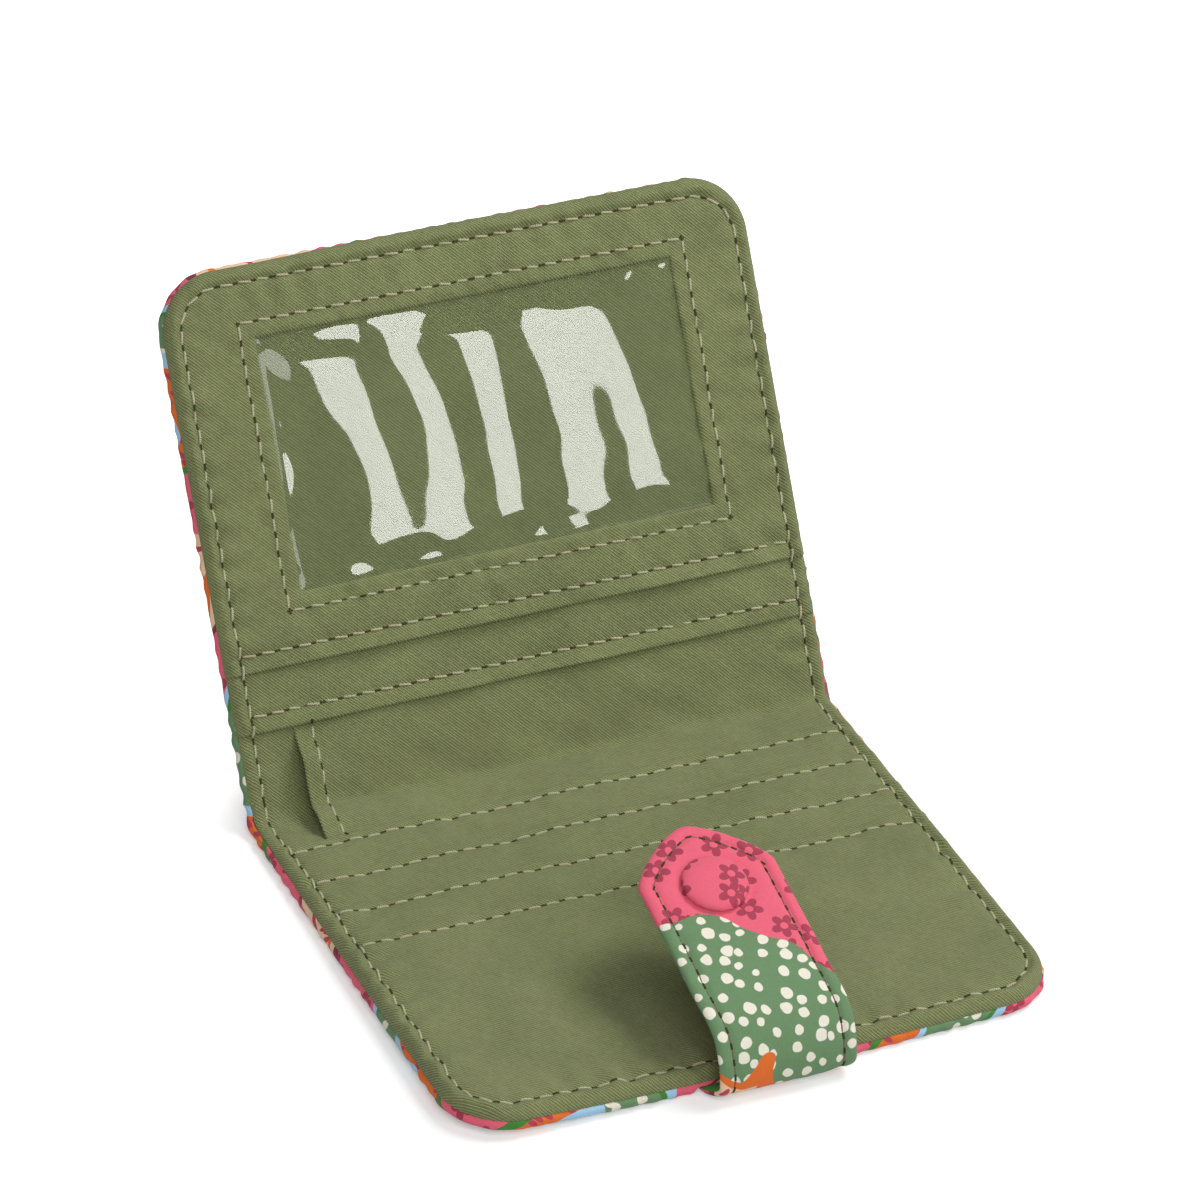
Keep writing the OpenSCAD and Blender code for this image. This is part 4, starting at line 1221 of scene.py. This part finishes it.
for level, start, stop, node in (("low", 18.0, SPLIT_RUN, "tab_riser_stiffener"),
                                 ("high", SPLIT_RUN, TIP_RUN - TAB_INNER, "tab_end_stiffener")):
    runs = lines(start, stop, TAB_INNER_STEP)
    stiffener = grid_sheet(f"tab_interfacing_{level}", inner_xs, runs, shape_stiffener, False)
    thicken(stiffener, TAB_INNER_T)
    stiffener.data.materials.append(wadding_white)
    swing(stiffener, level)
    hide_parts(node)
    tab_area(inner_xs, runs, level, 0.8)


def tab_face(x, run, more=0.0):
    """The tab's outer face, for its stitches."""
    a, b = tip_place(x, run)
    d = np.where((a > 0) & (b > 0), TAB_SEAM, np.minimum(TAB_HALF - np.abs(x), TIP_RUN - run))
    return tab_place(x, run, tab_relief(x, run, d) + more)


def tip_seam():
    """The seam round the tip, a constant way inside the edge."""
    grid_x = np.concatenate([np.full(40, TAB_HALF), np.linspace(TAB_HALF, 0, 40)])
    grid_run = np.concatenate([np.linspace(TIP_RUN - TAB_TAPER, TIP_RUN, 40), np.full(40, TIP_RUN)])
    x, run, d, way_x, way_s = tab_border(grid_x, grid_run)
    return list(zip(x - TAB_SEAM * way_x, run - TAB_SEAM * way_s))


tab_thread = thread_material("olive_brown_thread", TAB_THREAD, TAB_THREAD_GROOVE_SHADE)
tab_x = TAB_HALF - TAB_SEAM
right = [(tab_x, run) for run in np.arange(SPLIT_RUN, TIP_RUN - TAB_TAPER, 2)] + tip_seam()
high_row = [(-x, run) for x, run in right] + right[::-1]
low_rows = [[(side * tab_x, TAB_SEAM), (side * tab_x, SPLIT_RUN)] for side in (-1, 1)]
low_rows.append([(-tab_x, TAB_SEAM), (tab_x, TAB_SEAM)])
for level, rows, nodes in (("low", low_rows, ("tab_root_stitching", "tab_riser_stitching")),
                           ("high", [high_row], ("tab_end_stitching",))):
    seams = sew(f"tab_seam_{level}", tab_face, rows, tab_thread, 76, TAB_LIFT, TAB_PITCH,
                TAB_STITCH_L, TAB_THREAD_W, TAB_SLANT)
    swing(seams, level)
    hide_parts(*nodes)


# Snap
# A metal stud on the upper half and a socket under the tab's tip press together. The socket's
# post goes through the tab to a round cap, which is covered in the print and gathered under it.
CAP_PROFILE = np.array([(0.0, 1.0), (0.25, 0.985), (0.5, 0.93), (0.68, 0.85), (0.82, 0.73), (0.92, 0.58),
                        (0.98, 0.40), (1.0, 0.24), (0.985, 0.10), (0.93, 0.02), (0.80, 0.0), (0.3, 0.0)])
CAP_GAP, CAP_GATHERS = 0.02, 19
NICKEL_DARK, NICKEL_LIGHT = (0.60, 0.59, 0.56, 1.0), (0.76, 0.75, 0.72, 1.0)
# Where the cap's cloth was cut from the print, in metres: where a pink band lies.
CAP_CUT = (0.013, 0.066)


def metal_material():
    """Worn nickel, with fine scratches that make it glossy here and dull there."""
    material, tree = new_material("snap_nickel")
    wear = noise_node(tree, object_place(tree), 900.0, 4.0, dimensions="3D").outputs[0]
    rough = add_node(tree, "MapRange", Value=wear, i1=0.3, i2=0.7, i3=0.18, i4=0.34)
    bump = add_node(tree, "Bump", Strength=0.08, Distance=0.0001, Height=wear)
    nickel = add_node(tree, "BsdfPrincipled", Metallic=1.0, Roughness=rough.outputs[0],
                      Normal=bump.outputs[0],
                      **{"Base Color": mix_colour(tree, wear, NICKEL_DARK, NICKEL_LIGHT)})
    finish_material(tree, nickel.outputs[0])
    return material


def cap_place(x, run, k):
    """The point of the cap at x and run from its middle, k over the tab's outer face."""
    return Vector(tab_place(np.array(x), np.array(PLANE_RUN + SNAP_RUN + run), np.array(k)))


snap_nickel = metal_material()
for name in ("snap_stud", "snap_stud_post", "snap_socket"):
    for slot in bpy.data.objects[name].material_slots:
        slot.material = snap_nickel

bpy.ops.object.select_all(action="DESELECT")
bpy.ops.mesh.primitive_uv_sphere_add(segments=72, ring_count=40, radius=1)
cap = bpy.context.object
cap.name = cap.data.name = "snap_cap_cover"
profile = CAP_PROFILE * (CAP_R, CAP_H)
profile_at = np.concatenate([[0], np.cumsum(np.hypot(*np.diff(profile, axis=0).T))])
for point in cap.data.vertices:
    down = math.acos(max(-1, min(1, point.co.z))) / math.pi * profile_at[-1]
    turn = math.atan2(point.co.y, point.co.x)
    wide, high = (np.interp(down, profile_at, profile[:, k]) for k in (0, 1))
    rim = float(smooth(np.array(down), profile_at[4], profile_at[8]))
    wide *= 1 + 0.012 * rim * math.cos(CAP_GATHERS * turn + 2 * math.sin(3 * turn))
    if math.hypot(point.co.x, point.co.y) < 1e-5:
        wide = 0.0
    dx, dy = wide * math.cos(turn), wide * math.sin(turn)
    high += 0.03 * float(ripple(np.array(dx), np.array(dy), 5.5, 91))
    point.co = cap_place(dx, dy, high + CAP_GAP)
cloth_uv = cap.data.uv_layers[0]
cloth_uv.name = "cloth"
middle = cap_place(0.0, 0.0, 0.0)
for loop in cap.data.loops:
    from_middle = cap.data.vertices[loop.vertex_index].co - middle
    along = from_middle.y * PLANE_WAY[0] + from_middle.z * PLANE_WAY[1]
    cloth_uv.data[loop.index].uv = (from_middle.x + CAP_CUT[0], along + CAP_CUT[1])
take_up(cap)
face_outwards()
cap.data.materials.append(tab_print)
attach(cap, "tab_end")
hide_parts("snap_cap")
